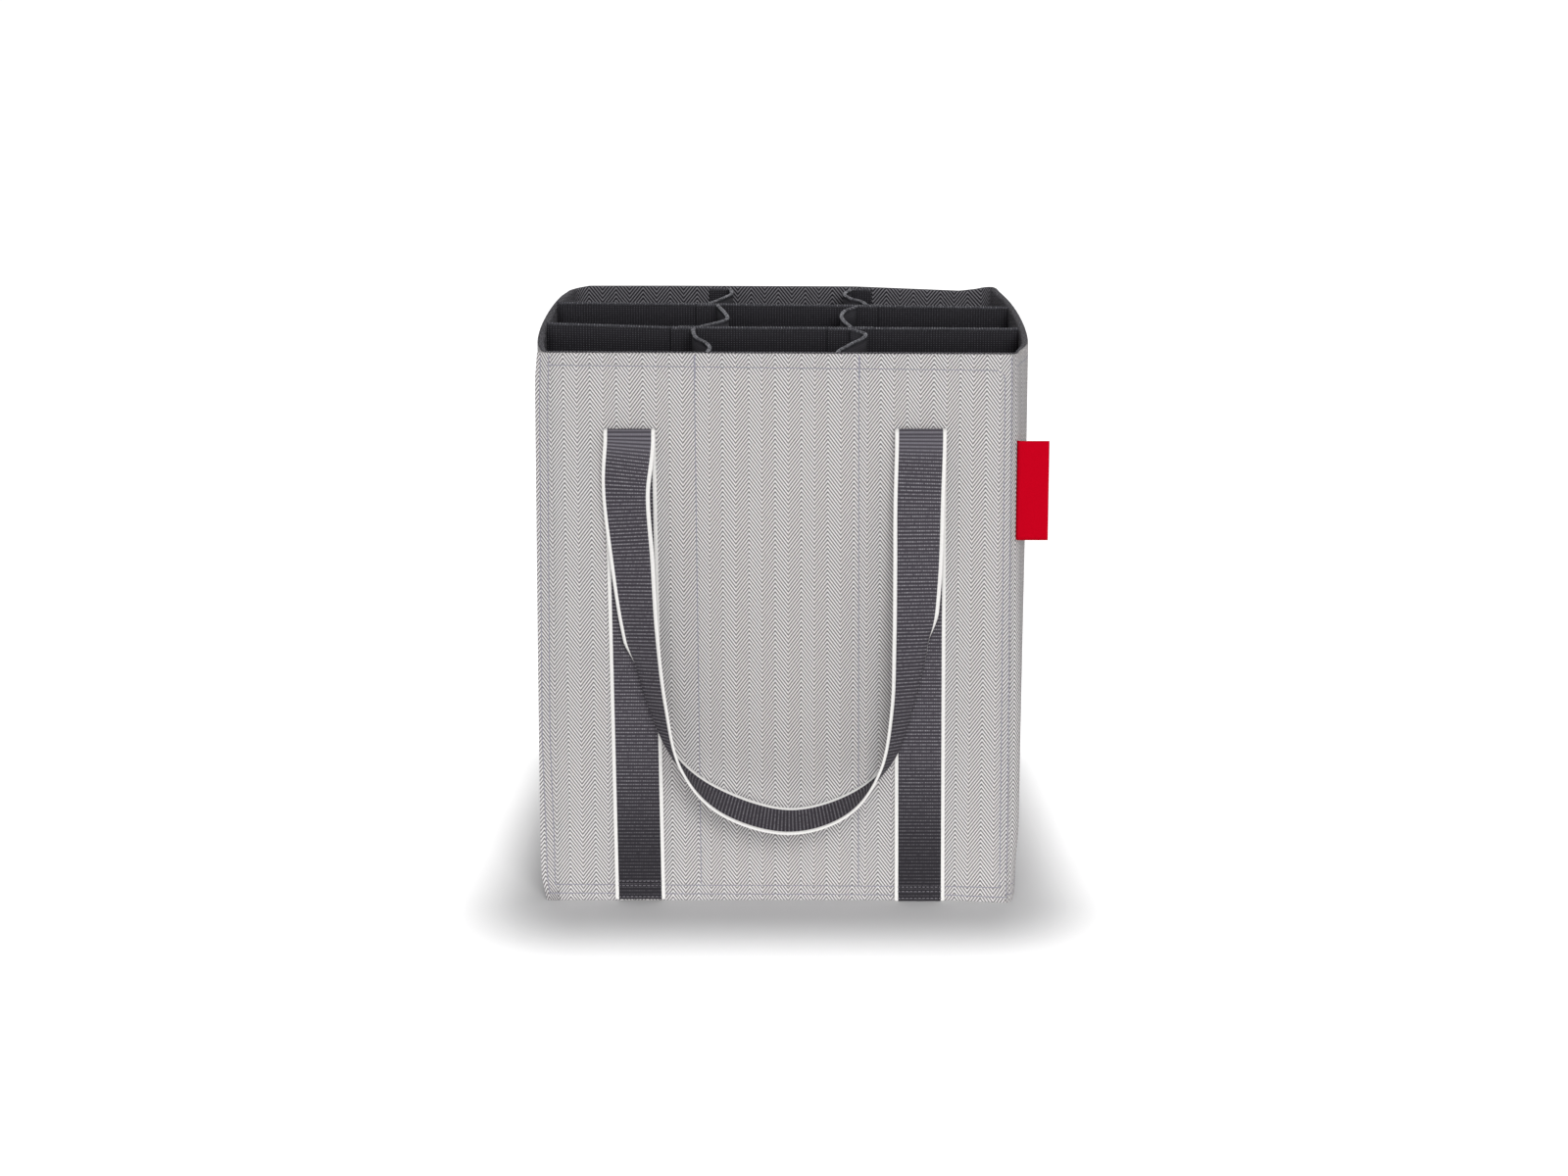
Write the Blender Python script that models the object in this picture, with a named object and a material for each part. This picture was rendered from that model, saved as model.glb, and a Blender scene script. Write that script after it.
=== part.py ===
"""Square bottle bag with nine cells, two hanging webbing handles and a side tab.

Metres, +Z up. The origin is the centre of the base, on the ground, and the front faces -Y.
"""

import math

import bmesh
import bpy
from mathutils import Vector

# Bag body
BAG_WIDTH = 0.240
BAG_DEPTH = 0.240
BAG_HEIGHT = 0.280
CORNER_RADIUS = 0.008
SIDE_BULGE = 0.005
SEWN_GAP = 0.0003

# Wall layers, from the outside inwards
CLOTH_THICKNESS = 0.0010
PADDING_THICKNESS = 0.0014
LINING_THICKNESS = 0.0006
FACING_THICKNESS = 0.0006
FACING_DEPTH = 0.020

# Base layers, from the ground up
BASE_CLOTH_THICKNESS = 0.0010
BASE_BOARD_THICKNESS = 0.0025
BASE_LINING_THICKNESS = 0.0006

# Dividers
CROSS_THICKNESS = 0.0016
LANE_THICKNESS = 0.0014
DIVIDER_DROP = 0.001
LANE_SWAY = 0.0115
LANE_TAB_LENGTH = 0.012
LANE_TAB_RADIUS = 0.0016

# Webbing
WEBBING_WIDTH = 0.0254
WEBBING_THICKNESS = 0.0014
STRAP_FROM_SIDE_AT_FOOT = 0.0490
STRAP_FROM_SIDE_AT_HEAD = 0.0479
STRAP_SHIFT_AT_FOOT = -0.0010
STRAP_SHIFT_AT_HEAD = -0.0029
STRAP_FOOT_HEIGHT = 0.0006
FOLD_BELOW_RIM = 0.038
FOLD_INNER_RADIUS = 0.0016
HANDLE_DROP = 0.1941
HANDLE_STAND = 0.0150

# Side tab, a ribbon folded double and caught in the right front seam
TAB_HEIGHT = 0.0496
TAB_ABOVE_GROUND = 0.1866
TAB_REACH = 0.0110
TAB_LAP = 0.0013
TAB_RIBBON_THICKNESS = 0.0004
TAB_FOLD_RADIUS = 0.0005

# Curve fineness
ARC_STEPS = 4
BULGE_STEPS = 10
RISE_STEPS = 6
LANE_STEPS = 16
ROUTE_STEPS = 6
FOLD_STEPS = 12
SHARP_ANGLE = math.radians(40)
SIDE_BULGE_POWER = 2.6
RISE_POWER = 3
STAND_POWER = 0.95

# Where each lane divider swings, from its rear end to its front end: the share of its run, and
# the share of LANE_SWAY that it lies nearer to the middle of the bag than its straight line.
LANE_SWING_SHARES = {
    ("left", "back"): ((0, 0.96), (0.18, 0.91), (0.5, 0.52), (0.83, 0.07), (1, -0.03)),
    ("left", "middle"): ((0, 0.35), (0.25, 0.70), (0.57, 0.95), (0.8, 0.35), (1, -0.10)),
    ("left", "front"): ((0, -0.45), (0.24, -0.28), (0.47, -0.03), (0.76, 0.34), (1, 0.12)),
    ("right", "back"): ((0, 0.40), (0.3, 0.45), (0.6, 0.05), (0.89, -0.38), (1, -0.42)),
    ("right", "middle"): ((0, 0.35), (0.36, 0.70), (0.6, 0.46), (0.87, 0.68), (1, 0.60)),
    ("right", "front"): ((0, -0.28), (0.21, -0.16), (0.49, 0.24), (0.8, 0.80), (1, 1.05)),
}

# The hanging handle, from its left fold to its right fold: the share of the half spread to the
# right of its middle, the share of its drop, and the share of a quarter turn that it has twisted.
HANDLE_ROUTE_SHARES = (
    (-1.0, 0.0, 0.0),
    (-1.026, 0.143, 0.24),
    (-0.985, 0.314, 0.35),
    (-0.942, 0.499, 0.48),
    (-0.859, 0.684, 0.66),
    (-0.703, 0.845, 0.88),
    (-0.380, 0.950, 1.12),
    (0.068, 1.0, 1.14),
    (0.475, 0.960, 1.06),
    (0.755, 0.853, 0.80),
    (0.881, 0.693, 0.60),
    (0.938, 0.517, 0.39),
    (0.963, 0.340, 0.23),
    (0.968, 0.166, 0.08),
    (1.0, 0.0, 0.0),
)

UP = Vector((0, 0, 1))
SEAM_ANGLE = math.pi / 4
QUARTER_TURN = math.pi / 2

# Each side's direction along the wall and direction outwards, anticlockwise from above
SIDES = {
    "front": (Vector((1, 0, 0)), Vector((0, -1, 0))),
    "right": (Vector((0, 1, 0)), Vector((1, 0, 0))),
    "back": (Vector((-1, 0, 0)), Vector((0, 1, 0))),
    "left": (Vector((0, -1, 0)), Vector((-1, 0, 0))),
}

# Depth of each wall layer's outer face below the outer face of the cloth
PADDING_INSET = CLOTH_THICKNESS + SEWN_GAP
PADDING_INNER_INSET = PADDING_INSET + PADDING_THICKNESS
LINING_INSET = PADDING_INNER_INSET + SEWN_GAP
LINING_INNER_INSET = LINING_INSET + LINING_THICKNESS
INSIDE_INSET = LINING_INSET + max(LINING_THICKNESS, FACING_THICKNESS) + SEWN_GAP

# Heights of the base layers
BOARD_LOW = BASE_CLOTH_THICKNESS + SEWN_GAP
BOARD_HIGH = BOARD_LOW + BASE_BOARD_THICKNESS
BASE_LINING_LOW = BOARD_HIGH + SEWN_GAP
BASE_LINING_HIGH = BASE_LINING_LOW + BASE_LINING_THICKNESS
FLOOR = BASE_LINING_HIGH + SEWN_GAP

# Cells
CELL_PITCH_ACROSS = BAG_WIDTH / 3
CELL_PITCH_DEEP = BAG_DEPTH / 3
DIVIDER_TOP = BAG_HEIGHT - DIVIDER_DROP

# Half the distance between the middles of a side's two straps
STRAP_SPREAD_AT_FOOT = BAG_WIDTH / 2 - STRAP_FROM_SIDE_AT_FOOT
STRAP_SPREAD_AT_HEAD = BAG_WIDTH / 2 - STRAP_FROM_SIDE_AT_HEAD

# The fold's axis: its height, and how far it stands off the panel's face
FOLD_HEIGHT = BAG_HEIGHT - FOLD_BELOW_RIM
STRAP_FACE_STAND = SEWN_GAP + WEBBING_THICKNESS
FOLD_STAND = STRAP_FACE_STAND + FOLD_INNER_RADIUS
FOLD_RADIUS = FOLD_INNER_RADIUS + WEBBING_THICKNESS / 2


def clear_scene():
    for thing in list(bpy.data.objects):
        bpy.data.objects.remove(thing, do_unlink=True)


def finish(name, colour, roughness):
    surface = bpy.data.materials.new(name)
    surface.use_nodes = True
    shader = surface.node_tree.nodes["Principled BSDF"]
    shader.inputs["Base Color"].default_value = (*colour, 1)
    shader.inputs["Roughness"].default_value = roughness
    shader.inputs["Metallic"].default_value = 0
    return surface


def loft(name, rings, surface, closed=False, pivot=None):
    """One closed solid through rings of points, with flat ends unless the rings close up.

    Each face starts at its lower near corner, so that layers crease along the same diagonals.
    """
    origin = pivot.location if pivot else Vector()
    shape = bmesh.new()
    grid = [[shape.verts.new(point - origin) for point in ring] for ring in rings]
    follower = grid[1:] + grid[:1] if closed else grid[1:]
    for near, far in zip(grid, follower):
        for k in range(len(near)):
            if near[k - 1].co.z <= near[k].co.z:
                shape.faces.new((near[k - 1], near[k], far[k], far[k - 1]))
            else:
                shape.faces.new((near[k], near[k - 1], far[k - 1], far[k]))
    if not closed:
        shape.faces.new(grid[0])
        shape.faces.new(grid[-1])
    bmesh.ops.recalc_face_normals(shape, faces=shape.faces)
    mesh = bpy.data.meshes.new(name)
    shape.to_mesh(mesh)
    shape.free()
    mesh.shade_smooth()
    mesh.set_sharp_from_angle(angle=SHARP_ANGLE)
    mesh.materials.append(surface)
    thing = bpy.data.objects.new(name, mesh)
    thing.parent = pivot
    bpy.context.scene.collection.objects.link(thing)
    return thing


def curve_through(points, steps):
    """A smooth curve through the points, which leaves and meets its ends along their last value."""
    first, second = points[0], points[1]
    last, before = points[-1], points[-2]
    lead_in = second.copy()
    lead_in[1] = 2 * first[1] - second[1]
    lead_out = before.copy()
    lead_out[1] = 2 * last[1] - before[1]
    chain = [lead_in, *points, lead_out]
    curve = []
    for a, b, c, d in zip(chain, chain[1:], chain[2:], chain[3:]):
        for k in range(steps):
            t = k / steps
            curve.append((b * 2 + (c - a) * t + (a * 2 - b * 5 + c * 4 - d) * t * t
                          + (b * 3 - a - c * 3 + d) * t * t * t) / 2)
    curve.append(points[-1].copy())
    return curve


# Walls


def half_length(side):
    along = SIDES[side][0]
    return abs(along.x) * BAG_WIDTH / 2 + abs(along.y) * BAG_DEPTH / 2


def wall_reach(side):
    outward = SIDES[side][1]
    return abs(outward.x) * BAG_WIDTH / 2 + abs(outward.y) * BAG_DEPTH / 2


def bulges(side):
    return side in ("left", "right")


def bulge(side, share, height):
    """How far a side wall stands out, most at the rim and half way along, not at all at the base."""
    if not bulges(side):
        return 0
    rise = 1 - (1 - height / BAG_HEIGHT) ** RISE_POWER
    return SIDE_BULGE * rise * (1 - abs(share) ** SIDE_BULGE_POWER)


def wall_point(side, share, angle, inset, height):
    """A point of a wall: share of its straight run, angle round its corner, depth and height."""
    along, outward = SIDES[side]
    radius = CORNER_RADIUS - inset
    run = (half_length(side) - CORNER_RADIUS) * share + radius * math.sin(angle)
    out = wall_reach(side) - CORNER_RADIUS + radius * math.cos(angle) + bulge(side, share, height)
    return along * run + outward * out + UP * height


def wall_stations(side, seam):
    """Places along a wall from corner seam to corner seam, as shares of the run and angles."""
    runs = BULGE_STEPS if bulges(side) else 1
    left = [(-1, -seam * (1 - k / ARC_STEPS)) for k in range(ARC_STEPS)]
    middle = [(2 * k / runs - 1, 0) for k in range(runs + 1)]
    right = [(1, seam * (k + 1) / ARC_STEPS) for k in range(ARC_STEPS)]
    return left + middle + right


def seam_end(inner_inset):
    """The corner angle at which a layer stops, so that it leaves the sewn gap to its neighbour."""
    return SEAM_ANGLE - math.asin(SEWN_GAP / 2 / (CORNER_RADIUS - inner_inset))


def climb(side, inset, low, high):
    """Section points from one height to another, with the levels that all layers share between."""
    levels = [BAG_HEIGHT * k / RISE_STEPS for k in range(RISE_STEPS + 1)] if bulges(side) else []
    between = [level for level in levels if min(low, high) < level < max(low, high)]
    if low > high:
        between.reverse()
    return [(inset, height) for height in (low, *between, high)]


def wall_layer(name, side, section, inner_inset, surface):
    rings = [
        [wall_point(side, share, angle, inset, height) for inset, height in section]
        for share, angle in wall_stations(side, seam_end(inner_inset))
    ]
    return loft(name, rings, surface)


def make_sheet(name, side, inset, inner_inset, low, high, surface):
    section = climb(side, inset, low, high) + climb(side, inner_inset, high, low)
    wall_layer(name, side, section, inner_inset, surface)


def make_walls(cloth, padding, lining):
    padding_high = BAG_HEIGHT - FACING_THICKNESS - SEWN_GAP
    lining_high = BAG_HEIGHT - FACING_DEPTH - SEWN_GAP
    for side in SIDES:
        make_sheet(side + "_panel", side, 0, CLOTH_THICKNESS, 0, BAG_HEIGHT, cloth)
        make_sheet(side + "_padding", side, PADDING_INSET, PADDING_INNER_INSET,
                   BASE_LINING_LOW, padding_high, padding)
        make_sheet(side + "_lining", side, LINING_INSET, LINING_INNER_INSET,
                   FLOOR, lining_high, lining)


def make_rim_facing(surface):
    """One band of dark cloth inside the rim, whose top edge turns outwards over the padding."""
    low = BAG_HEIGHT - FACING_DEPTH
    under_turn = BAG_HEIGHT - FACING_THICKNESS
    inner_inset = LINING_INSET + FACING_THICKNESS
    section = [(LINING_INSET, low), (LINING_INSET, under_turn),
               (PADDING_INSET, under_turn), (PADDING_INSET, BAG_HEIGHT),
               (inner_inset, BAG_HEIGHT), (inner_inset, low)]
    rings = [
        [wall_point(side, share, angle, inset, height) for inset, height in section]
        for side in SIDES
        for share, angle in wall_stations(side, SEAM_ANGLE)[:-1]
    ]
    loft("rim_facing", rings, surface, closed=True)


# Base


def make_plate(name, inset, low, high, surface):
    corners = [
        (side, share, angle)
        for side in SIDES
        for share, angle in wall_stations(side, SEAM_ANGLE)[:-1]
        if abs(share) == 1
    ]
    rings = []
    for height in (low, high):
        outline = [wall_point(side, share, angle, inset, 0) for side, share, angle in corners]
        rings.append([point + UP * height for point in outline])
    loft(name, rings, surface)


def make_base(cloth, board, lining):
    make_plate("base_panel", PADDING_INSET, 0, BASE_CLOTH_THICKNESS, cloth)
    make_plate("base_board", PADDING_INSET, BOARD_LOW, BOARD_HIGH, board)
    make_plate("base_lining", LINING_INSET, BASE_LINING_LOW, BASE_LINING_HIGH, lining)


# Dividers


def make_cross_divider(name, middle, surface):
    """A straight wall from side to side, whose ends follow the bulge of the sides."""
    flat = half_length("right") - CORNER_RADIUS
    rings = []
    for place in (middle - CROSS_THICKNESS / 2, middle + CROSS_THICKNESS / 2):
        edge = [
            wall_point("right", place / flat, 0, INSIDE_INSET, height)
            for _, height in climb("right", 0, FLOOR, DIVIDER_TOP)
        ]
        mirrored = [Vector((-point.x, point.y, point.z)) for point in reversed(edge)]
        rings.append(edge + mirrored)
    loft(name, rings, surface)


def row_ends(row):
    """The faces between which a row's lane dividers are sewn, from the rear to the front."""
    wall = BAG_DEPTH / 2 - INSIDE_INSET
    cross = CELL_PITCH_DEEP / 2
    cross_face = CROSS_THICKNESS / 2 + SEWN_GAP
    ends = {
        "back": (wall, cross + cross_face),
        "middle": (cross - cross_face, cross_face - cross),
        "front": (-cross - cross_face, -wall),
    }
    return ends[row]


def lane_path(lane, row):
    """The plan of a lane divider: a sewn tab, a rounded turn, the S-curve, a turn and a tab."""
    outward = -1 if lane == "left" else 1
    rear_face, front_face = row_ends(row)
    rear = rear_face - LANE_THICKNESS / 2 - LANE_TAB_RADIUS
    front = front_face + LANE_THICKNESS / 2 + LANE_TAB_RADIUS
    straight = CELL_PITCH_ACROSS / 2
    knots = [
        Vector((outward * (straight - LANE_SWAY * sway), rear + (front - rear) * share))
        for share, sway in LANE_SWING_SHARES[lane, row]
    ]
    curve = curve_through(knots, LANE_STEPS // (len(knots) - 1))
    turn = [k / ARC_STEPS * QUARTER_TURN for k in range(ARC_STEPS)]
    head, foot = knots[0], knots[-1]
    path = [head + Vector((outward * LANE_TAB_LENGTH, LANE_TAB_RADIUS))]
    path += [
        head + Vector((outward * (1 - math.sin(a)), math.cos(a))) * LANE_TAB_RADIUS for a in turn
    ]
    path += curve[:-1]
    path += [
        foot + Vector((outward * (1 - math.cos(a)), -math.sin(a))) * LANE_TAB_RADIUS for a in turn
    ]
    path.append(foot + Vector((outward, -1)) * LANE_TAB_RADIUS)
    path.append(foot + Vector((outward * LANE_TAB_LENGTH, -LANE_TAB_RADIUS)))
    return path


def upright_ribbon(name, path, thickness, low, high, surface):
    """A strip that stands on edge along a path in plan."""
    rings = []
    for k, point in enumerate(path):
        ahead = path[min(k + 1, len(path) - 1)]
        behind = path[max(k - 1, 0)]
        heading = (ahead - behind).normalized()
        aside = Vector((-heading.y, heading.x)) * thickness / 2
        left, right = point + aside, point - aside
        rings.append([left.to_3d() + UP * low, right.to_3d() + UP * low,
                      right.to_3d() + UP * high, left.to_3d() + UP * high])
    return loft(name, rings, surface)


def make_dividers(surface):
    make_cross_divider("front_cross_divider", -CELL_PITCH_DEEP / 2, surface)
    make_cross_divider("rear_cross_divider", CELL_PITCH_DEEP / 2, surface)
    for lane, row in LANE_SWING_SHARES:
        upright_ribbon("lane_divider_" + lane + "_" + row, lane_path(lane, row),
                       LANE_THICKNESS, FLOOR, DIVIDER_TOP, surface)


# Webbing


def off_panel(side, across, stand, height):
    """A point in front of the front panel, or behind the back one, at a distance off its face."""
    outward = SIDES[side][1]
    return Vector((across, 0, height)) + outward * (BAG_DEPTH / 2 + stand)


def webbing_ring(centre, width_way, face_way):
    half = width_way * WEBBING_WIDTH / 2
    deep = face_way * WEBBING_THICKNESS / 2
    return [centre - half - deep, centre + half - deep, centre + half + deep, centre - half + deep]


def strap_head(hand):
    return STRAP_SHIFT_AT_HEAD + hand * STRAP_SPREAD_AT_HEAD


def make_sewn_strap(side, lane, hand, surface):
    across = Vector((1, 0, 0))
    outward = SIDES[side][1]
    stand = SEWN_GAP + WEBBING_THICKNESS / 2
    foot = off_panel(side, STRAP_SHIFT_AT_FOOT + hand * STRAP_SPREAD_AT_FOOT, stand, STRAP_FOOT_HEIGHT)
    head = off_panel(side, strap_head(hand), stand, FOLD_HEIGHT - SEWN_GAP)
    rings = [webbing_ring(foot, across, outward), webbing_ring(head, across, outward)]
    loft(side + "_strap_" + lane, rings, surface)


def make_fold(side, lane, hand, surface):
    """The half turn over the top, from the sewn strap to the hanging handle."""
    outward = SIDES[side][1]
    centre = off_panel(side, strap_head(hand), FOLD_STAND, FOLD_HEIGHT)
    rings = []
    for k in range(FOLD_STEPS + 1):
        angle = math.pi * k / FOLD_STEPS
        away = UP * math.sin(angle) - outward * math.cos(angle)
        rings.append(webbing_ring(centre + away * FOLD_RADIUS, Vector((1, 0, 0)), away))
    loft(side + "_fold_" + lane, rings, surface)


def handle_route(side):
    knots = []
    for across_share, drop_share, twist_share in HANDLE_ROUTE_SHARES:
        across = STRAP_SHIFT_AT_HEAD + across_share * STRAP_SPREAD_AT_HEAD
        stand = FOLD_STAND + FOLD_RADIUS + HANDLE_STAND * drop_share ** STAND_POWER
        height = FOLD_HEIGHT - SEWN_GAP - HANDLE_DROP * drop_share
        knots.append(Vector((across, height, stand, twist_share * QUARTER_TURN)))
    return [
        (off_panel(side, place[0], place[2], place[1]), place[3])
        for place in curve_through(knots, ROUTE_STEPS)
    ]


def make_handle(side, surface):
    """The free loop: it hangs face on, twists a quarter turn and lies open at the bottom."""
    pivot = bpy.data.objects.new(side + "_handle_pivot", None)
    pivot.location = off_panel(side, STRAP_SHIFT_AT_HEAD, FOLD_STAND, FOLD_HEIGHT)
    bpy.context.scene.collection.objects.link(pivot)
    outward = SIDES[side][1]
    route = handle_route(side)
    rings = []
    for k, (point, twist) in enumerate(route):
        if k in (0, len(route) - 1):
            heading = -UP if k == 0 else UP
        else:
            heading = (route[k + 1][0] - route[k - 1][0]).normalized()
        forward = (outward - heading * heading.dot(outward)).normalized()
        inward = forward.cross(heading)
        if side == "back":
            inward = -inward
        width_way = inward * math.cos(twist) + forward * math.sin(twist)
        rings.append(webbing_ring(point, width_way, heading.cross(width_way)))
    loft(side + "_handle", rings, surface, pivot=pivot)


def make_webbing(surface):
    for side in ("front", "back"):
        for lane, hand in (("left", -1), ("right", 1)):
            make_sewn_strap(side, lane, hand, surface)
            make_fold(side, lane, hand, surface)
        make_handle(side, surface)


# Side tab


def make_side_tab(surface):
    """A ribbon folded double round its outer edge, both ends caught in the corner seam."""
    corner_across = BAG_WIDTH / 2 - CORNER_RADIUS
    corner_deep = BAG_DEPTH / 2 - CORNER_RADIUS
    root = corner_across + CORNER_RADIUS * math.cos(SEAM_ANGLE) - TAB_LAP
    surface_deep = corner_deep + math.sqrt(CORNER_RADIUS ** 2 - (root - corner_across) ** 2)
    inner = surface_deep + SEWN_GAP + TAB_RIBBON_THICKNESS / 2
    tip = BAG_WIDTH / 2 + TAB_REACH - TAB_RIBBON_THICKNESS / 2 - TAB_FOLD_RADIUS
    middle = inner + TAB_FOLD_RADIUS
    path = [Vector((root, -middle - TAB_FOLD_RADIUS))]
    for k in range(2 * ARC_STEPS + 1):
        angle = math.pi * k / (2 * ARC_STEPS)
        path.append(Vector((tip + TAB_FOLD_RADIUS * math.sin(angle),
                            -middle - TAB_FOLD_RADIUS * math.cos(angle))))
    path.append(Vector((root, -inner)))
    upright_ribbon("side_tab", path, TAB_RIBBON_THICKNESS,
                   TAB_ABOVE_GROUND, TAB_ABOVE_GROUND + TAB_HEIGHT, surface)


clear_scene()
cloth = finish("herringbone_cloth", (0.505, 0.482, 0.484), 0.9)
dark_cloth = finish("dark_herringbone", (0.075, 0.073, 0.080), 0.9)
lining_cloth = finish("grey_lining", (0.035, 0.035, 0.038), 0.85)
padding_foam = finish("padding_foam", (0.62, 0.62, 0.60), 0.95)
board_card = finish("base_board_card", (0.12, 0.12, 0.12), 0.8)
divider_cloth = finish("ribbed_divider_cloth", (0.015, 0.015, 0.017), 0.9)
webbing = finish("anthracite_webbing", (0.075, 0.069, 0.083), 0.75)
tab_ribbon = finish("red_ribbon", (0.61, 0.008, 0.022), 0.6)

make_walls(cloth, padding_foam, lining_cloth)
make_rim_facing(dark_cloth)
make_base(cloth, board_card, lining_cloth)
make_dividers(divider_cloth)
make_webbing(webbing)
make_side_tab(tab_ribbon)
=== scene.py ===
"""Looks of the bottle bag: every visible piece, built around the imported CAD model.

Metres, +Z up, front towards -Y, in the CAD model's own frame.
"""

import math

import bmesh
import bpy
from mathutils import Matrix, Vector


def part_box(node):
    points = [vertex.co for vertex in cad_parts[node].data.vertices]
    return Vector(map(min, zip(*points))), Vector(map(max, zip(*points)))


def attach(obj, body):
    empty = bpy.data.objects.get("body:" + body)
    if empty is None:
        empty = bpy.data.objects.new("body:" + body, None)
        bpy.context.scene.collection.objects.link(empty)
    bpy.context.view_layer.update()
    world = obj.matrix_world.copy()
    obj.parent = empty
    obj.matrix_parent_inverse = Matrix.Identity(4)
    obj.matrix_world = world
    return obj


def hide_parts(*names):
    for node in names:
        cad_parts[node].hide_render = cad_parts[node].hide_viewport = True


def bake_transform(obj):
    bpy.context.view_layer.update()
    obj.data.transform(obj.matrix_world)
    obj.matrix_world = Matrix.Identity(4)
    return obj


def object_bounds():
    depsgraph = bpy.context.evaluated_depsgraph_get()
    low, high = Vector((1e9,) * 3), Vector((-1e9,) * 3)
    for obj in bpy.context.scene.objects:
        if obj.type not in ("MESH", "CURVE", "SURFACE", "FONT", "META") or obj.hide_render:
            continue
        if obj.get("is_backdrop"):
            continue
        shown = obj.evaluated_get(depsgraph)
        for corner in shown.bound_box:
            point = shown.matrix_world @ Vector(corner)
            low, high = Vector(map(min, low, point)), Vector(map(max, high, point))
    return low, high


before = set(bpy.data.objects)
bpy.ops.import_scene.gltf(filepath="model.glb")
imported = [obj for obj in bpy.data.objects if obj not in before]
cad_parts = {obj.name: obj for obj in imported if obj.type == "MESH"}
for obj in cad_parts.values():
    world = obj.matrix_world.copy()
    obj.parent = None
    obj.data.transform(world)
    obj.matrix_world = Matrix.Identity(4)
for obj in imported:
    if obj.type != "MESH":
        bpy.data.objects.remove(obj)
cad_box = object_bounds()
bpy.ops.object.select_all(action="DESELECT")
bpy.context.scene.view_settings.view_transform = "Standard"

# Camera.
# A long lens looks slightly down on the front of the bag, from 1.6 metres away.

CAMERA_PLACE = (0, -1.7018, 0.520)
CAMERA_TILT = 0.223
CAMERA_LENS = 75.1
CAMERA_SENSOR = 36
CAMERA_SHIFT_ACROSS = 0.0008
CAMERA_SHIFT_UP = 0.0013

bpy.ops.object.camera_add(location=CAMERA_PLACE, rotation=(math.pi / 2 - CAMERA_TILT, 0, 0))
camera = bpy.context.object
camera.data.lens = CAMERA_LENS
camera.data.sensor_width = CAMERA_SENSOR
camera.data.shift_x = CAMERA_SHIFT_ACROSS
camera.data.shift_y = CAMERA_SHIFT_UP
bpy.context.scene.camera = camera

# Studio.
# A pale seamless floor under an even white sky, with two soft boxes in front that shape the
# cloth and a weak one behind. The floor glows for the camera, except close round the bag, so the
# dark ground there is partly its real soft shadow and partly painted shade. Near the bag the floor
# also glows, unseen by the camera, and that glow lights the foot of the walls.

FLOOR_SIZE = 60
FLOOR_COLOUR = (0.67, 0.67, 0.675)
GROUND_GLOW = 0.76
GLOW_FROM = 0.020
GLOW_TO = 0.120
GLOW_SIDEWAYS = 1.69
GLOW_BACKWARDS = 2.1
TABLE_GLOW = 0.34
TABLE_GLOW_FROM = 0.20
TABLE_GLOW_TO = 0.02
GLOW_BESIDE = 0.099
GLOW_AHEAD = 0.120
SKY_STRENGTH = 0.42
SOFT_BOXES = (
    ("key", (0.50, -3.0, 1.35), 1.1, 49.5),
    ("fill", (-0.35, -3.2, 0.40), 1.3, 28),
    ("back", (0.8, 3.0, 1.5), 1.4, 14),
)
AIM = Vector((0, 0, 0.14))
WHITE = (1, 1, 1, 1)


def finish(name, **values):
    """A material with these values on its shader, its node tree and the shader itself."""
    material = bpy.data.materials.new(name)
    material.use_nodes = True
    shader = material.node_tree.nodes["Principled BSDF"]
    for socket, value in values.items():
        shader.inputs[socket.replace("_", " ")].default_value = value
    return material, material.node_tree, shader


def feed(tree, socket, value):
    if isinstance(value, bpy.types.NodeSocket):
        tree.links.new(value, socket)
    else:
        socket.default_value = value


def maths(tree, operation, *values):
    step = tree.nodes.new("ShaderNodeMath")
    step.operation = operation
    for socket, value in zip(step.inputs, values):
        feed(tree, socket, value)
    return step.outputs[0]


def two_colours(tree, share, low, high):
    """From one colour at share 0 to the other at share 1."""
    mix = tree.nodes.new("ShaderNodeMix")
    mix.data_type = "RGBA"
    feed(tree, mix.inputs[0], share)
    feed(tree, mix.inputs[6], low)
    feed(tree, mix.inputs[7], high)
    return mix.outputs[2]


def soft_step(tree, value, low, high):
    step = tree.nodes.new("ShaderNodeMapRange")
    step.interpolation_type = "SMOOTHSTEP"
    feed(tree, step.inputs["Value"], value)
    step.inputs["From Min"].default_value = low
    step.inputs["From Max"].default_value = high
    return step.outputs["Result"]


def speckle(tree, vector, scale, detail=2):
    noise = tree.nodes.new("ShaderNodeTexNoise")
    feed(tree, noise.inputs["Vector"], vector)
    noise.inputs["Scale"].default_value = scale
    noise.inputs["Detail"].default_value = detail
    return noise.outputs["Fac"]


def relief(tree, shader, height, depth):
    """Bump of that depth in metres, where the height goes from 0 to 1."""
    bump = tree.nodes.new("ShaderNodeBump")
    bump.inputs["Distance"].default_value = depth
    feed(tree, bump.inputs["Height"], height)
    tree.links.new(bump.outputs["Normal"], shader.inputs["Normal"])


def in_space(tree):
    return tree.nodes.new("ShaderNodeTexCoord").outputs["Object"]


def apart(tree, vector):
    parts = tree.nodes.new("ShaderNodeSeparateXYZ")
    tree.links.new(vector, parts.inputs["Vector"])
    return parts.outputs


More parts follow.
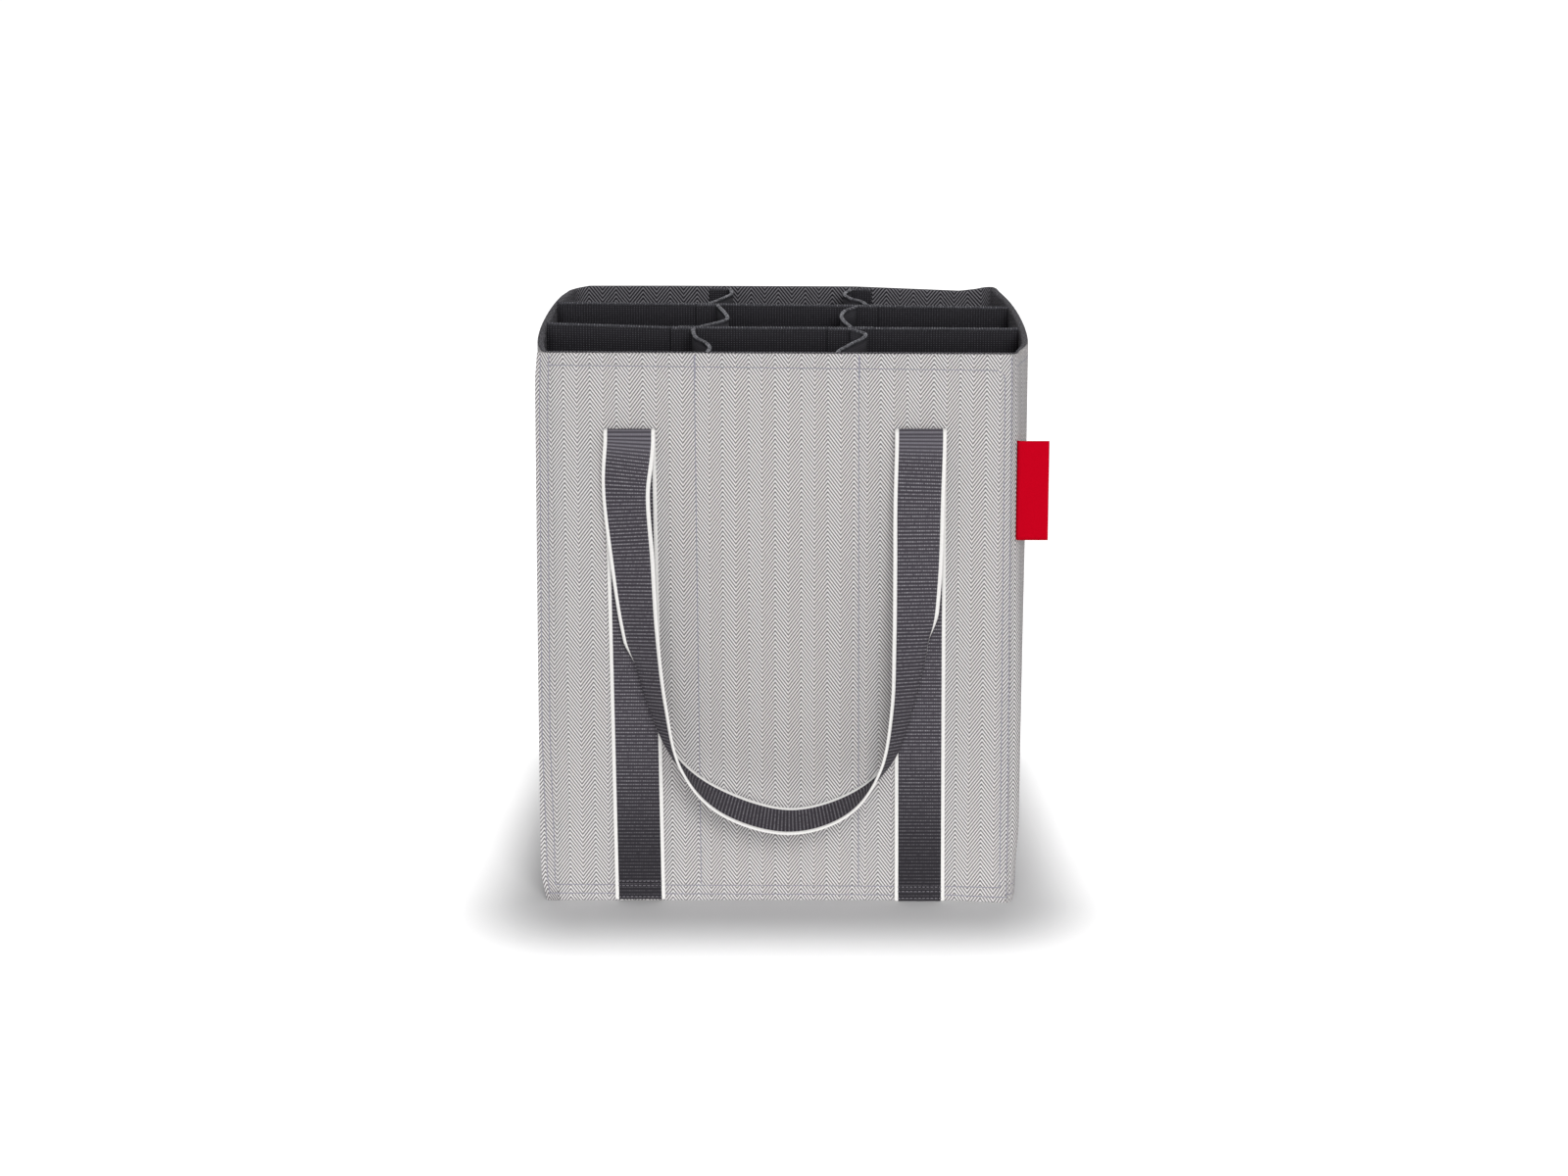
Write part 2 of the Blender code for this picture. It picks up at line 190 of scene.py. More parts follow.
bpy.ops.mesh.primitive_plane_add(size=FLOOR_SIZE)
floor = bpy.context.object
floor.name = "floor"
floor_paint, tree, shader = finish("floor_paint", Base_Color=(*FLOOR_COLOUR, 1), Roughness=0.9)
floor.data.materials.append(floor_paint)
seen = tree.nodes.new("ShaderNodeLightPath").outputs["Is Camera Ray"]
x, y, _ = apart(tree, in_space(tree))
# the camera's glow is left out close round the bag, and further to its sides: painted shade there
beside, ahead = (maths(tree, "MAXIMUM", maths(tree, "SUBTRACT", maths(tree, "ABSOLUTE", way), start), 0)
                 for way, start in ((x, GLOW_BESIDE), (y, GLOW_AHEAD)))
beside = maths(tree, "MULTIPLY", beside,
               maths(tree, "MULTIPLY_ADD", y, GLOW_BACKWARDS, GLOW_SIDEWAYS))
away = maths(tree, "SQRT", maths(tree, "ADD", maths(tree, "MULTIPLY", beside, beside),
                                 maths(tree, "MULTIPLY", ahead, ahead)))
glow = maths(tree, "MULTIPLY", soft_step(tree, away, GLOW_FROM, GLOW_TO), GROUND_GLOW)
# a glow that the camera doesn't see, from the floor near the bag, lights the foot of its walls
under = maths(tree, "MULTIPLY", soft_step(tree, ahead, TABLE_GLOW_FROM, TABLE_GLOW_TO), TABLE_GLOW)
tree.links.new(maths(tree, "ADD", maths(tree, "MULTIPLY", glow, seen),
                     maths(tree, "MULTIPLY", under, maths(tree, "SUBTRACT", 1, seen))),
               shader.inputs["Emission Strength"])
shader.inputs["Emission Color"].default_value = WHITE
floor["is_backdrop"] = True

sky = bpy.data.worlds.new("sky")
sky.use_nodes = True
tree = sky.node_tree
seen = tree.nodes.new("ShaderNodeLightPath").outputs["Is Camera Ray"]
tree.links.new(maths(tree, "MULTIPLY_ADD", seen, 1 - SKY_STRENGTH, SKY_STRENGTH),
               tree.nodes["Background"].inputs["Strength"])
tree.nodes["Background"].inputs["Color"].default_value = WHITE
bpy.context.scene.world = sky

for name, place, size, power in SOFT_BOXES:
    bpy.ops.object.light_add(type="AREA", location=place)
    lamp = bpy.context.object
    lamp.name = name
    lamp.data.size = size
    lamp.data.energy = power
    lamp.rotation_euler = (AIM - Vector(place)).to_track_quat("-Z", "Y").to_euler()

# Outer cloth.
# Four panels of light grey herringbone, sewn up the corners, stand over thin padding. Lines of
# stitching draw the cloth in along its seams, hem and foot, and where the dividers are sewn on.

CORNER_RADIUS = 0.008
SIDE_BULGE = 0.005
SIDE_BULGE_POWER = 2.6
RISE_POWER = 3
CLOTH_THICKNESS = 0.0010
CLOTH_BELOW_RIM = 0.0005
SEAM_DEPTH = 0.0005
STITCH_DEPTH = 0.00035
STITCH_HOLLOW = 0.0008
COLUMN_GRID = 0.0025
ROW_GRID = 0.007
SWELL = 0.0002
# its waves: radians to the metre, and where they start
SWELLS_ACROSS = (52, 1.3)
SWELLS_UP = (41, 0.6)
# stitched lines of the front: the runs of the upright ones at the foot and at the rim, and at the
# left and the right how far the hem line lies under the rim, and the heights of two over the foot
LEFT_SEAM = (-0.1196, -0.1196)
RIGHT_SEAM = (0.1144, 0.1126)
LEFT_LINE = (-0.1156, -0.1144)
RIGHT_LINE = (0.1099, 0.1087)
LEFT_DIVIDER_LINE = (-0.0412, -0.0433)
RIGHT_DIVIDER_LINE = (0.0383, 0.0372)
HEM_LINE = (0.0066, 0.0085)
LOW_LINE = (0.0084, 0.0071)
FOOT_LINE = (0.0038, 0.0025)
CROSS_PLACE = 0.040
CHEVRON_COLUMNS = 0.01295
CHEVRON_PEAK = -0.0426
CHEVRON_SLOPE = 1.36
CHEVRON_PITCH = 0.0022
CHEVRON_YARN = 0.00037
CHEVRON_RELIEF = 0.3
YARN_RELIEF = 0.00012
PAINTED_LEAN_SHADE = 0.05

# How the cloth relaxes: the front's corners are drawn in and its rim slants, the back's rim is
# lifted, and each comes in over a depth of the bag, from one Y to another
RIM_SLANT = -0.0040
RIM_SLANT_OVER = (-0.10, -0.12)
BACK_RIM_LIFT_OVER = (0.09, 0.115)
BACK_RIM_LIFT = ((-0.120, -0.0006), (-0.108, 0.0016), (-0.06, 0.0016), (0.04, 0.0012),
                 (0.099, -0.0012), (0.112, 0.0003))
BACK_CORNER = (0.1170, 0.1175)
BACK_CORNER_LIFT = 0.0009
BACK_CORNER_REACH = 0.009
CORNER_DRAWN_IN = {1: 0.525, -1: 0.13}
CORNER_DRAWN_FROM = 0.112
CORNER_DRAWN_OVER = (-0.112, -0.081)
FOOT_DRAWN_IN = 0.36
FOOT_DRAWN_UP_TO = 0.036
FOOT_FLARE = ((0.085, 0), (0.112, 0.0045))
FOOT_FLARE_UP_TO = 0.012

UP = Vector((0, 0, 1))
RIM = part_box("front_panel")[1].z
HALF_DEPTH = -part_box("front_panel")[0].y
HALF_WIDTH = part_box("right_panel")[1].x - SIDE_BULGE
SIDES = {
    "front": (Vector((1, 0, 0)), Vector((0, -1, 0)), HALF_WIDTH, HALF_DEPTH),
    "right": (Vector((0, 1, 0)), Vector((1, 0, 0)), HALF_DEPTH, HALF_WIDTH),
    "back": (Vector((-1, 0, 0)), Vector((0, 1, 0)), HALF_WIDTH, HALF_DEPTH),
    "left": (Vector((0, -1, 0)), Vector((-1, 0, 0)), HALF_DEPTH, HALF_WIDTH),
}
AROUND_CORNER = HALF_WIDTH + HALF_DEPTH - 2 * CORNER_RADIUS + math.pi / 2 * CORNER_RADIUS


def part_way(place, start, end):
    """The share of the way from start to end, held between 0 and 1."""
    return min(1, max(0, (place - start) / (end - start)))


def between(stations, place):
    """The value at a place between stations, each a place and its value."""
    for (a, low), (b, high) in zip(stations, stations[1:]):
        if place <= b:
            break
    return low + (high - low) * part_way(place, a, b)


def relaxed(point):
    """How the cloth really lies: its front corners drawn in, its rim not quite level.

    The front's right foot is drawn in too, and its hem flares a little there.
    """
    x, y, z = point
    share = max(0, z / RIM)
    hand = math.copysign(1, x)
    near = 1 - part_way(y, *CORNER_DRAWN_OVER)
    beyond = max(0, abs(x) - CORNER_DRAWN_FROM) * near ** 2
    x -= hand * beyond * CORNER_DRAWN_IN[hand] * share ** 2
    if x > 0:
        x -= beyond * FOOT_DRAWN_IN * max(0, 1 - z / FOOT_DRAWN_UP_TO)
        y -= between(FOOT_FLARE, x) * near * max(0, 1 - z / FOOT_FLARE_UP_TO)
    lift = RIM_SLANT * x * part_way(y, *RIM_SLANT_OVER)
    lift += between(BACK_RIM_LIFT, x) * part_way(y, *BACK_RIM_LIFT_OVER)
    lift += BACK_CORNER_LIFT * max(0, 1 - math.dist((x, y), BACK_CORNER) / BACK_CORNER_REACH)
    return Vector((x, y, z + lift * share ** 3))


def on_wall(side, run, inset, height):
    """A point of a wall: the run along the cloth from its middle, depth under its face, height."""
    along, outward, half, reach = SIDES[side]
    flat = half - CORNER_RADIUS
    angle = max(0, abs(run) - flat) / CORNER_RADIUS
    radius = CORNER_RADIUS - inset
    sideways = math.copysign(min(abs(run), flat) + radius * math.sin(angle), run)
    out = reach - CORNER_RADIUS + radius * math.cos(angle)
    if side in ("left", "right"):
        rise = 1 - (1 - height / RIM) ** RISE_POWER
        out += SIDE_BULGE * rise * (1 - min(1, abs(run) / flat) ** SIDE_BULGE_POWER)
    return relaxed(along * sideways + outward * out + UP * height)


def swell(run, height):
    """How far the cloth lies under the CAD model's flat face, as it isn't stretched tight."""
    across = math.sin(run * SWELLS_ACROSS[0] + SWELLS_ACROSS[1])
    return SWELL * (1 + across * math.sin(height * SWELLS_UP[0] + SWELLS_UP[1]))


def spread(marks, grid, near):
    """Pairs of places between the marks: close by each mark, where the cloth dips, then even.

    A mark is its two ends and its depth, and so is a place.
    """
    places = []
    for (a, b, deep), (c, d, next_deep) in zip(marks, marks[1:]):
        gap = min(c - a, d - b)
        steps = max(1, round(gap / grid))
        shares = {0: deep, near / gap: deep / 2, 2 * near / gap: 0}
        shares.update({2 * near / gap + (1 - 4 * near / gap) * k / steps: 0 for k in range(1, steps)})
        shares.update({1 - 2 * near / gap: 0, 1 - near / gap: next_deep / 2})
        places += [(a + (c - a) * s, b + (d - b) * s, shares[s]) for s in sorted(shares)]
    return places + [marks[-1]]


def cloth_layer(name, grid, closed=False):
    """One layer of cloth through rows of points, each with its place in the cloth itself.

    A closed one meets itself round each row, and its open ends are filled.
    """
    shape = bmesh.new()
    own_place = shape.loops.layers.uv.new("cloth")
    verts = [[shape.verts.new(point) for point, _ in row] for row in grid]
    for i in range(len(grid) - 1):
        for j in range(len(grid[0]) - 1):
            corners = ((i, j), (i, j + 1), (i + 1, j + 1), (i + 1, j))
            face = shape.faces.new([verts[a][b] for a, b in corners])
            face.smooth = True
            for loop, (a, b) in zip(face.loops, corners):
                loop[own_place].uv = grid[a][b][1]
    if closed:
        bmesh.ops.remove_doubles(shape, verts=shape.verts, dist=1e-6)
        ends = bmesh.ops.holes_fill(shape, edges=shape.edges, sides=0)["faces"]
        for loop in (loop for face in ends for loop in face.loops):
            loop[own_place].uv = loop.link_loop_radial_next.link_loop_next[own_place].uv
        bmesh.ops.recalc_face_normals(shape, faces=shape.faces)
    mesh = bpy.data.meshes.new(name)
    shape.to_mesh(mesh)
    shape.free()
    layer = bpy.data.objects.new(name, mesh)
    bpy.context.collection.objects.link(layer)
    return layer


def wall_cloth(name, side, columns, rows, inset, thickness):
    """A panel of cloth on a wall, through columns of runs and rows of heights, both its faces.

    Stitching dents its outer face alone.
    """
    left, right = columns[0][0], columns[-1][0]
    around = [(row, 0) for row in rows] + [(row, thickness) for row in reversed(rows)]
    grid = []
    for low_run, high_run, column_deep in columns:
        across = (low_run - left) / (right - left)
        points = []
        for (row_left, row_right, row_deep), under in (*around, around[0]):
            height = row_left + (row_right - row_left) * across
            run = low_run + (high_run - low_run) * height / RIM
            dent = 0 if under else max(row_deep, column_deep)
            deep = inset + under + dent + swell(run, height)
            points.append((on_wall(side, run, deep, height), (run, height)))
        grid.append(points)
    return cloth_layer(name, grid, closed=True)


def in_cloth(tree):
    """The place in the piece's own cloth, and its ways across and along, in metres."""
    place = tree.nodes.new("ShaderNodeUVMap")
    place.uv_map = "cloth"
    return place.outputs["UV"], *apart(tree, place.outputs["UV"])[:2]


def ridges(tree, value, pitch):
    """From 0 to 1 and back again, once each pitch."""
    return maths(tree, "DIVIDE", maths(tree, "PINGPONG", value, pitch / 2), pitch / 2)


def paint(tree, shader, share, low, high):
    tree.links.new(two_colours(tree, share, low, high), shader.inputs["Base Color"])


def herringbone(tree, shader, columns, peak, slope, pitch):
    """Raises chevrons along the piece's own cloth, and gives their wave, their lean and a fleck.

    A pair of columns is that wide, and their yarns climb by the slope, that pitch apart.
    """
    place, across, along = in_cloth(tree)
    across = maths(tree, "SUBTRACT", across, peak)
    column = maths(tree, "PINGPONG", across, columns / 2)
    stepped = maths(tree, "SNAP", column, CHEVRON_YARN)
    climb = maths(tree, "MULTIPLY_ADD", stepped, slope, along)
    wave = maths(tree, "SINE", maths(tree, "MULTIPLY", climb, 2 * math.pi / pitch))
    height = maths(tree, "ADD", maths(tree, "MULTIPLY", wave, CHEVRON_RELIEF),
                   ridges(tree, column, CHEVRON_YARN))
    relief(tree, shader, height, YARN_RELIEF)
    lean = maths(tree, "GREATER_THAN", maths(tree, "FRACT", maths(tree, "DIVIDE", across, columns)), 0.5)
    return wave, lean, speckle(tree, place, scale=1300)


outer_cloth, tree, shader = finish("light_herringbone", Roughness=0.92, Specular_IOR_Level=0.2)
wave, lean, fleck = herringbone(tree, shader, CHEVRON_COLUMNS, CHEVRON_PEAK, CHEVRON_SLOPE,
                                CHEVRON_PITCH)
dark_yarn = two_colours(tree, fleck, (0.075, 0.070, 0.076, 1), (0.250, 0.235, 0.245, 1))
light_yarn = two_colours(tree, fleck, (0.74, 0.715, 0.715, 1), (0.92, 0.89, 0.89, 1))
# painted shade: every other column of chevrons is a little darker, as twill leaning that way catches
# less light
light_yarn = two_colours(tree, maths(tree, "MULTIPLY", lean, PAINTED_LEAN_SHADE), light_yarn, (0, 0, 0, 1))
paint(tree, shader, soft_step(tree, wave, -0.7, 0.5), dark_yarn, light_yarn)

WALL_LINES = {
    "front": ((*LEFT_SEAM, SEAM_DEPTH), (*LEFT_LINE, STITCH_DEPTH),
              (*LEFT_DIVIDER_LINE, STITCH_DEPTH), (*RIGHT_DIVIDER_LINE, STITCH_DEPTH),
              (*RIGHT_LINE, STITCH_DEPTH), (*RIGHT_SEAM, SEAM_DEPTH)),
    "right": ((RIGHT_SEAM[0] - AROUND_CORNER, RIGHT_SEAM[1] - AROUND_CORNER, SEAM_DEPTH),
              (-CROSS_PLACE, -CROSS_PLACE, STITCH_DEPTH), (CROSS_PLACE, CROSS_PLACE, STITCH_DEPTH),
              (LEFT_SEAM[0] + AROUND_CORNER, LEFT_SEAM[1] + AROUND_CORNER, SEAM_DEPTH)),
}
WALL_LINES["back"] = WALL_LINES["front"]
WALL_LINES["left"] = WALL_LINES["right"]
CLOTH_TOP = RIM - CLOTH_BELOW_RIM
WALL_ROWS = spread(
    ((0, 0, SEAM_DEPTH), (*FOOT_LINE, STITCH_DEPTH), (*LOW_LINE, STITCH_DEPTH),
     (RIM - HEM_LINE[0], RIM - HEM_LINE[1], STITCH_DEPTH), (CLOTH_TOP, CLOTH_TOP, 0)),
    ROW_GRID, STITCH_HOLLOW / 2)

for side, lines in WALL_LINES.items():
    columns = spread(lines, COLUMN_GRID, STITCH_HOLLOW)
    panel = wall_cloth(side + "_cloth", side, columns, WALL_ROWS, 0, CLOTH_THICKNESS)
    panel.data.materials.append(outer_cloth)
    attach(panel, "bag")
    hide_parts(side + "_panel")

# Padding, between the outer cloth and the lining.
# A thin sheet of pale foam behind each panel keeps the wall upright. It is cut a little under
# the rim, and it stands on the bag's base.

PADDING_INSET = 0.0013
PADDING_THICKNESS = 0.0012
PADDING_LOW = 0.0041
PADDING_HIGH = 0.2791
PORE_DEPTH = 0.0003
CORNER_GAP = 0.0002

foam, tree, shader = finish("padding_foam", Roughness=0.95, Specular_IOR_Level=0.1)
pores = speckle(tree, in_space(tree), scale=1800, detail=4)
paint(tree, shader, pores, (0.50, 0.50, 0.48, 1), (0.72, 0.72, 0.70, 1))
relief(tree, shader, pores, PORE_DEPTH)



def unstitched(start, end, grid):
    return spread(((start, start, 0), (end, end, 0)), grid, STITCH_HOLLOW)


HALF_RUN = AROUND_CORNER / 2 - CORNER_GAP
FROM_CORNER_TO_CORNER = unstitched(-HALF_RUN, HALF_RUN, COLUMN_GRID)
rows = unstitched(PADDING_LOW, PADDING_HIGH, ROW_GRID)
for side in SIDES:
    pad = wall_cloth(side + "_foam", side, FROM_CORNER_TO_CORNER, rows,
                     PADDING_INSET, PADDING_THICKNESS)
    pad.data.materials.append(foam)
    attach(pad, "bag")
    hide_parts(side + "_padding")

# Lining.
# Plain dark grey cloth covers the inside of each wall up to the facing, into which its top
# edge is sewn. It is woven from a slightly shiny filling over a matt warp.

LINING_INSET = 0.0030
LINING_THICKNESS = 0.00045
LINING_LOW = 0.0050
LINING_HIGH = 0.2597
LINING_YARN = 0.0005

grey_lining, tree, shader = finish("grey_lining", Roughness=0.82, Specular_IOR_Level=0.25)
place, *ways = in_cloth(tree)
warp, filling = (maths(tree, "SINE", maths(tree, "MULTIPLY", way, math.pi / LINING_YARN))
                 for way in ways)
crossing = maths(tree, "MULTIPLY_ADD", maths(tree, "MULTIPLY", warp, filling), 0.5, 0.5)
tone = maths(tree, "MULTIPLY", crossing, speckle(tree, place, scale=900))
paint(tree, shader, tone, (0.022, 0.022, 0.024, 1), (0.070, 0.069, 0.074, 1))
relief(tree, shader, crossing, YARN_RELIEF)

rows = unstitched(LINING_LOW, LINING_HIGH, ROW_GRID)
for side in SIDES:
    lining = wall_cloth(side + "_inner_cloth", side, FROM_CORNER_TO_CORNER, rows,
                        LINING_INSET, LINING_THICKNESS)
    lining.data.materials.append(grey_lining)
    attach(lining, "bag")
    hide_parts(side + "_lining")

# Rim facing.
# One band of dark herringbone runs round the inside of the rim. Its top edge is turned
# outwards over the padding and caught under the hem line of the outer cloth.

FACING_COLUMNS = 0.0151
FACING_PEAK = 0.4882
FACING_SLOPE = 1.24
FACING_PITCH = 0.0023
# depth under the outer face, and height, from the lower inside edge over the rim to its end
FACING_SECTION = (
    (0.0036, 0.2600), (0.0036, 0.2650), (0.0036, 0.2700), (0.0036, 0.2750), (0.0036, 0.2785),
    (0.0035, 0.2793), (0.0031, 0.2798), (0.0026, 0.2800), (0.0018, 0.2801), (0.0010, 0.2800),
    (0.0006, 0.2799), (0.0006, 0.2796), (0.0010, 0.2796), (0.0016, 0.2796), (0.0027, 0.2793),
    (0.0030, 0.2788), (0.0030, 0.2750), (0.0030, 0.2700), (0.0030, 0.2650), (0.0030, 0.2600),
    (0.0036, 0.2600),
)

dark_herringbone, tree, shader = finish("dark_herringbone", Roughness=0.9, Specular_IOR_Level=0.2)
wave, _, fleck = herringbone(tree, shader, FACING_COLUMNS, FACING_PEAK, FACING_SLOPE, FACING_PITCH)
dark_yarn = two_colours(tree, fleck, (0.014, 0.013, 0.017, 1), (0.028, 0.026, 0.032, 1))
light_yarn = two_colours(tree, fleck, (0.19, 0.186, 0.204, 1), (0.32, 0.31, 0.335, 1))
paint(tree, shader, soft_step(tree, wave, -0.1, 0.8), dark_yarn, light_yarn)

rings, run_before = [], 0
for side in SIDES:
    half = SIDES[side][2] - CORNER_RADIUS + math.pi / 4 * CORNER_RADIUS
    steps = round(2 * half / COLUMN_GRID)
    for k in range(steps + (side == "left")):
        run = -half + 2 * half * k / steps
        ring, depth = [], 0
        for j, (inset, height) in enumerate(FACING_SECTION):
            depth += math.dist(FACING_SECTION[max(0, j - 1)], (inset, height))
            ring.append((on_wall(side, run, inset, height), (run_before + run + half, depth)))
        rings.append(ring)
    run_before += 2 * half
facing = cloth_layer("rim_band", rings, closed=True)
facing.data.materials.append(dark_herringbone)
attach(facing, "bag")
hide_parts("rim_facing")

# Base.
# Outer cloth closes the bag underneath. A stiff grey board lies on it, under a floor of lining
# cloth, and keeps the base flat under nine full cells.

BASE_INSET = 0.0015
BASE_CLOTH_HIGH = 0.0010
BOARD_LOW = 0.0013
BOARD_HIGH = 0.0038
FLOOR_CLOTH_LOW = 0.0041
FLOOR_CLOTH_HIGH = 0.0047
BOARD_EDGE = 0.0004
FIBRE_DEPTH = 0.0002
CLOTH_EDGE = 0.0002
PLAN_GRID = 0.004

grey_board, tree, shader = finish("grey_board", Roughness=0.7)
fibres = speckle(tree, in_space(tree), scale=260, detail=6)
paint(tree, shader, fibres, (0.10, 0.095, 0.085, 1), (0.24, 0.225, 0.20, 1))
relief(tree, shader, fibres, FIBRE_DEPTH)


def turning(angle, steps):
    return [angle * k / steps for k in range(steps + 1)]


def flat_cloth(name, inset, low, high):
    """A laid sheet with the walls' plan, cut that far inside their outer face."""
    reach = HALF_WIDTH - inset
    corner = CORNER_RADIUS - inset
    plan = [(reach - corner + corner * math.cos(a), reach - corner + corner * math.sin(a))
            for a in turning(math.pi / 2, 6)]
    plan += [(-x, y) for x, y in reversed(plan)]
    plan += [(-x, -y) for x, y in plan]
    plan.append(plan[0])
    edge = []
    for a, b in zip(plan, plan[1:]):
        steps = max(1, round(math.dist(a, b) / PLAN_GRID))
        edge += [Vector(a).lerp(Vector(b), k / steps) for k in range(steps)]
    edge.append(edge[0])
    levels = [(share * (1 - CLOTH_EDGE / reach), low) for share in (0, 0.25, 0.5, 0.75, 1)]
    levels = [*levels, (1, low + CLOTH_EDGE), (1, high - CLOTH_EDGE),
              *((share, high) for share, _ in reversed(levels))]
    grid = [[(relaxed((*spot * share, level)), tuple(spot * share)) for spot in edge]
            for share, level in levels]
    return cloth_layer(name, grid, closed=True)


base_cloth = flat_cloth("base_cloth", BASE_INSET, 0, BASE_CLOTH_HIGH)
base_cloth.data.materials.append(outer_cloth)
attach(base_cloth, "bag")
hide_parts("base_panel")

reach = HALF_WIDTH - BASE_INSET
bpy.ops.mesh.primitive_cube_add(size=1, location=(0, 0, (BOARD_LOW + BOARD_HIGH) / 2))
board = bpy.context.object
board.name = "bottom_board"
board.scale = (2 * reach, 2 * reach, BOARD_HIGH - BOARD_LOW)
bpy.ops.object.transform_apply(location=True, scale=True)
bpy.ops.object.mode_set(mode="EDIT")
bpy.ops.mesh.select_mode(type="EDGE")
bpy.ops.mesh.select_all(action="DESELECT")
shape = bmesh.from_edit_mesh(board.data)
for edge in shape.edges:
    ends = [vert.co for vert in edge.verts]
    edge.select_set(abs(ends[0].z - ends[1].z) > BOARD_EDGE)
bmesh.update_edit_mesh(board.data)
bpy.ops.mesh.bevel(offset=CORNER_RADIUS - BASE_INSET, segments=8)
# cuts where the foot begins to be drawn in and to flare, and one between
for cut in ((FOOT_FLARE[0][0], 0, 0), (0, CORNER_DRAWN_OVER[1], 0), (0, sum(CORNER_DRAWN_OVER) / 2, 0)):
    bpy.ops.mesh.select_all(action="SELECT")
    bpy.ops.mesh.bisect(plane_co=cut, plane_no=Vector(cut).normalized())
bpy.ops.object.mode_set(mode="OBJECT")
rounding = board.modifiers.new("rounding", "BEVEL")
rounding.width = BOARD_EDGE
rounding.segments = 2
bpy.ops.object.modifier_apply(modifier=rounding.name)
for vert in board.data.vertices:
    vert.co = relaxed(vert.co)
board.data.materials.append(grey_board)
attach(board, "bag")
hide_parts("base_board")

floor_cloth = flat_cloth("floor_cloth", LINING_INSET, FLOOR_CLOTH_LOW, FLOOR_CLOTH_HIGH)
floor_cloth.data.materials.append(grey_lining)
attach(floor_cloth, "bag")
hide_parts("base_lining")

# Dividers.
# Two straight strips of ribbed black cloth run from side to side. Six more swing in S-curves
# between them, with their ends turned and sewn on. Thread is overlocked over every top edge.

DIVIDER_LOW = 0.005
DIVIDER_TOP = 0.279
CROSS_THICKNESS = 0.0016
INSIDE_INSET = 0.0039
SEWN_GAP = 0.0003
LANE_THICKNESS = 0.0014
LANE_SWAY = 0.0115
LANE_TAB_LENGTH = 0.012
LANE_TAB_RADIUS = 0.0016
LANE_LINE = 0.040
PATH_STEP = 0.0012
RIB_PITCH = 0.0014
DOT_PITCH = 0.0011
LOOP_PITCH = 0.00135
LOOP_LEG = 0.0022
LOOP_THREAD = 0.00015
LOOP_CROWN = 0.0006
LOOP_LEGS_BEHIND = 0.0005
LOOP_OVER = 0.0002
LOOP_BELLY = 0.0001
LOOP_SHOULDER = 0.0003
RIB_DEPTH = 0.00018
STRAND_DEPTH = 0.00005
# how far below the top the divider strips are painted lighter, as painted light
LIT_TOP_DEPTH = 0.012
BOUND_BELOW_TOP = (0.0012, 0.0004)
STRIP_LEVELS = 24

# Each lane's share of LANE_SWAY towards the middle, at shares of its run from rear to front
LANE_SWING_SHARES = {
    ("left", "back"): ((0, 0.97), (0.3, 1.02), (0.5, 0.80), (0.88, 0.24), (1, 0.04)),
    ("left", "middle"): ((0, 0.48), (0.12, 0.59), (0.35, 0.82), (0.58, 0.97), (0.73, 0.82),
                         (0.92, 0.15), (1, -0.15)),
    ("left", "front"): ((0, -0.47), (0.08, -0.49), (0.36, -0.33), (0.58, 0.12), (0.79, 0.34),
                        (1, 0.26)),
    ("right", "back"): ((0, 0.20), (0.18, 0.45), (0.36, 0.51), (0.6, 0.22), (0.76, -0.22),
                        (1, -0.41)),
    ("right", "middle"): ((0, 0.10), (0.17, 0.55), (0.35, 0.76), (0.55, 0.80), (0.78, 0.66),
                          (1, 0.45)),
    ("right", "front"): ((0, 0.45), (0.06, 0.24), (0.17, -0.12), (0.26, -0.15), (0.40, 0.02),
                         (0.69, 0.66), (1, 1.14)),
}
TABS_TURNED_IN = {("right", "front")}
# How much higher the top edges lie, from left to right, on the lines where they are sewn
DIVIDER_LIFTS = (
    (-0.12, ((-0.12, 0.0008), (-0.06, 0.0005), (0.04, 0.0003), (0.12, 0.0003))),
    (-0.04, ((-0.12, 0.0045), (-0.06, 0.0025), (0.04, 0.0020), (0.12, 0.0017))),
    (0.04, ((-0.12, 0.0042), (-0.06, 0.0036), (0.04, 0.0026), (0.12, 0.0015))),
    (0.12, ((-0.12, 0.0019), (-0.06, 0.0016), (0.04, 0.0013), (0.12, 0.0003))),
)
ROWS = {
    "back": (HALF_DEPTH - INSIDE_INSET, CROSS_PLACE + CROSS_THICKNESS / 2 + SEWN_GAP),
    "middle": (CROSS_PLACE - CROSS_THICKNESS / 2 - SEWN_GAP,
               CROSS_THICKNESS / 2 + SEWN_GAP - CROSS_PLACE),
    "front": (-CROSS_PLACE - CROSS_THICKNESS / 2 - SEWN_GAP, INSIDE_INSET - HALF_DEPTH),
}


def curve_through(points, steps):
    """A smooth curve through the points, which leaves and meets its ends along their last value."""
    lead_in, lead_out = points[1].copy(), points[-2].copy()
    lead_in[1] = 2 * points[0][1] - points[1][1]
    lead_out[1] = 2 * points[-1][1] - points[-2][1]
    chain = [lead_in, *points, lead_out]
    curve = []
    for a, b, c, d in zip(chain, chain[1:], chain[2:], chain[3:]):
        for t in (k / steps for k in range(steps)):
            curve.append((b * 2 + (c - a) * t + (a * 2 - b * 5 + c * 4 - d) * t * t
                          + (b * 3 - a - c * 3 + d) * t * t * t) / 2)
    return curve + [points[-1].copy()]


def evenly(points, step):
    """The same path with its points that far apart, or a little less."""
    lengths = [(b - a).to_3d().length for a, b in zip(points, points[1:])]
    count = math.ceil(sum(lengths) / step)
    gap, ahead, even = sum(lengths) / count, 0, [points[0]]
    for a, b, length in zip(points, points[1:], lengths):
        while ahead + gap <= length + 1e-9 and len(even) < count:
            ahead += gap
            even.append(a.lerp(b, ahead / length))
        ahead -= length
    return even + [points[-1]]


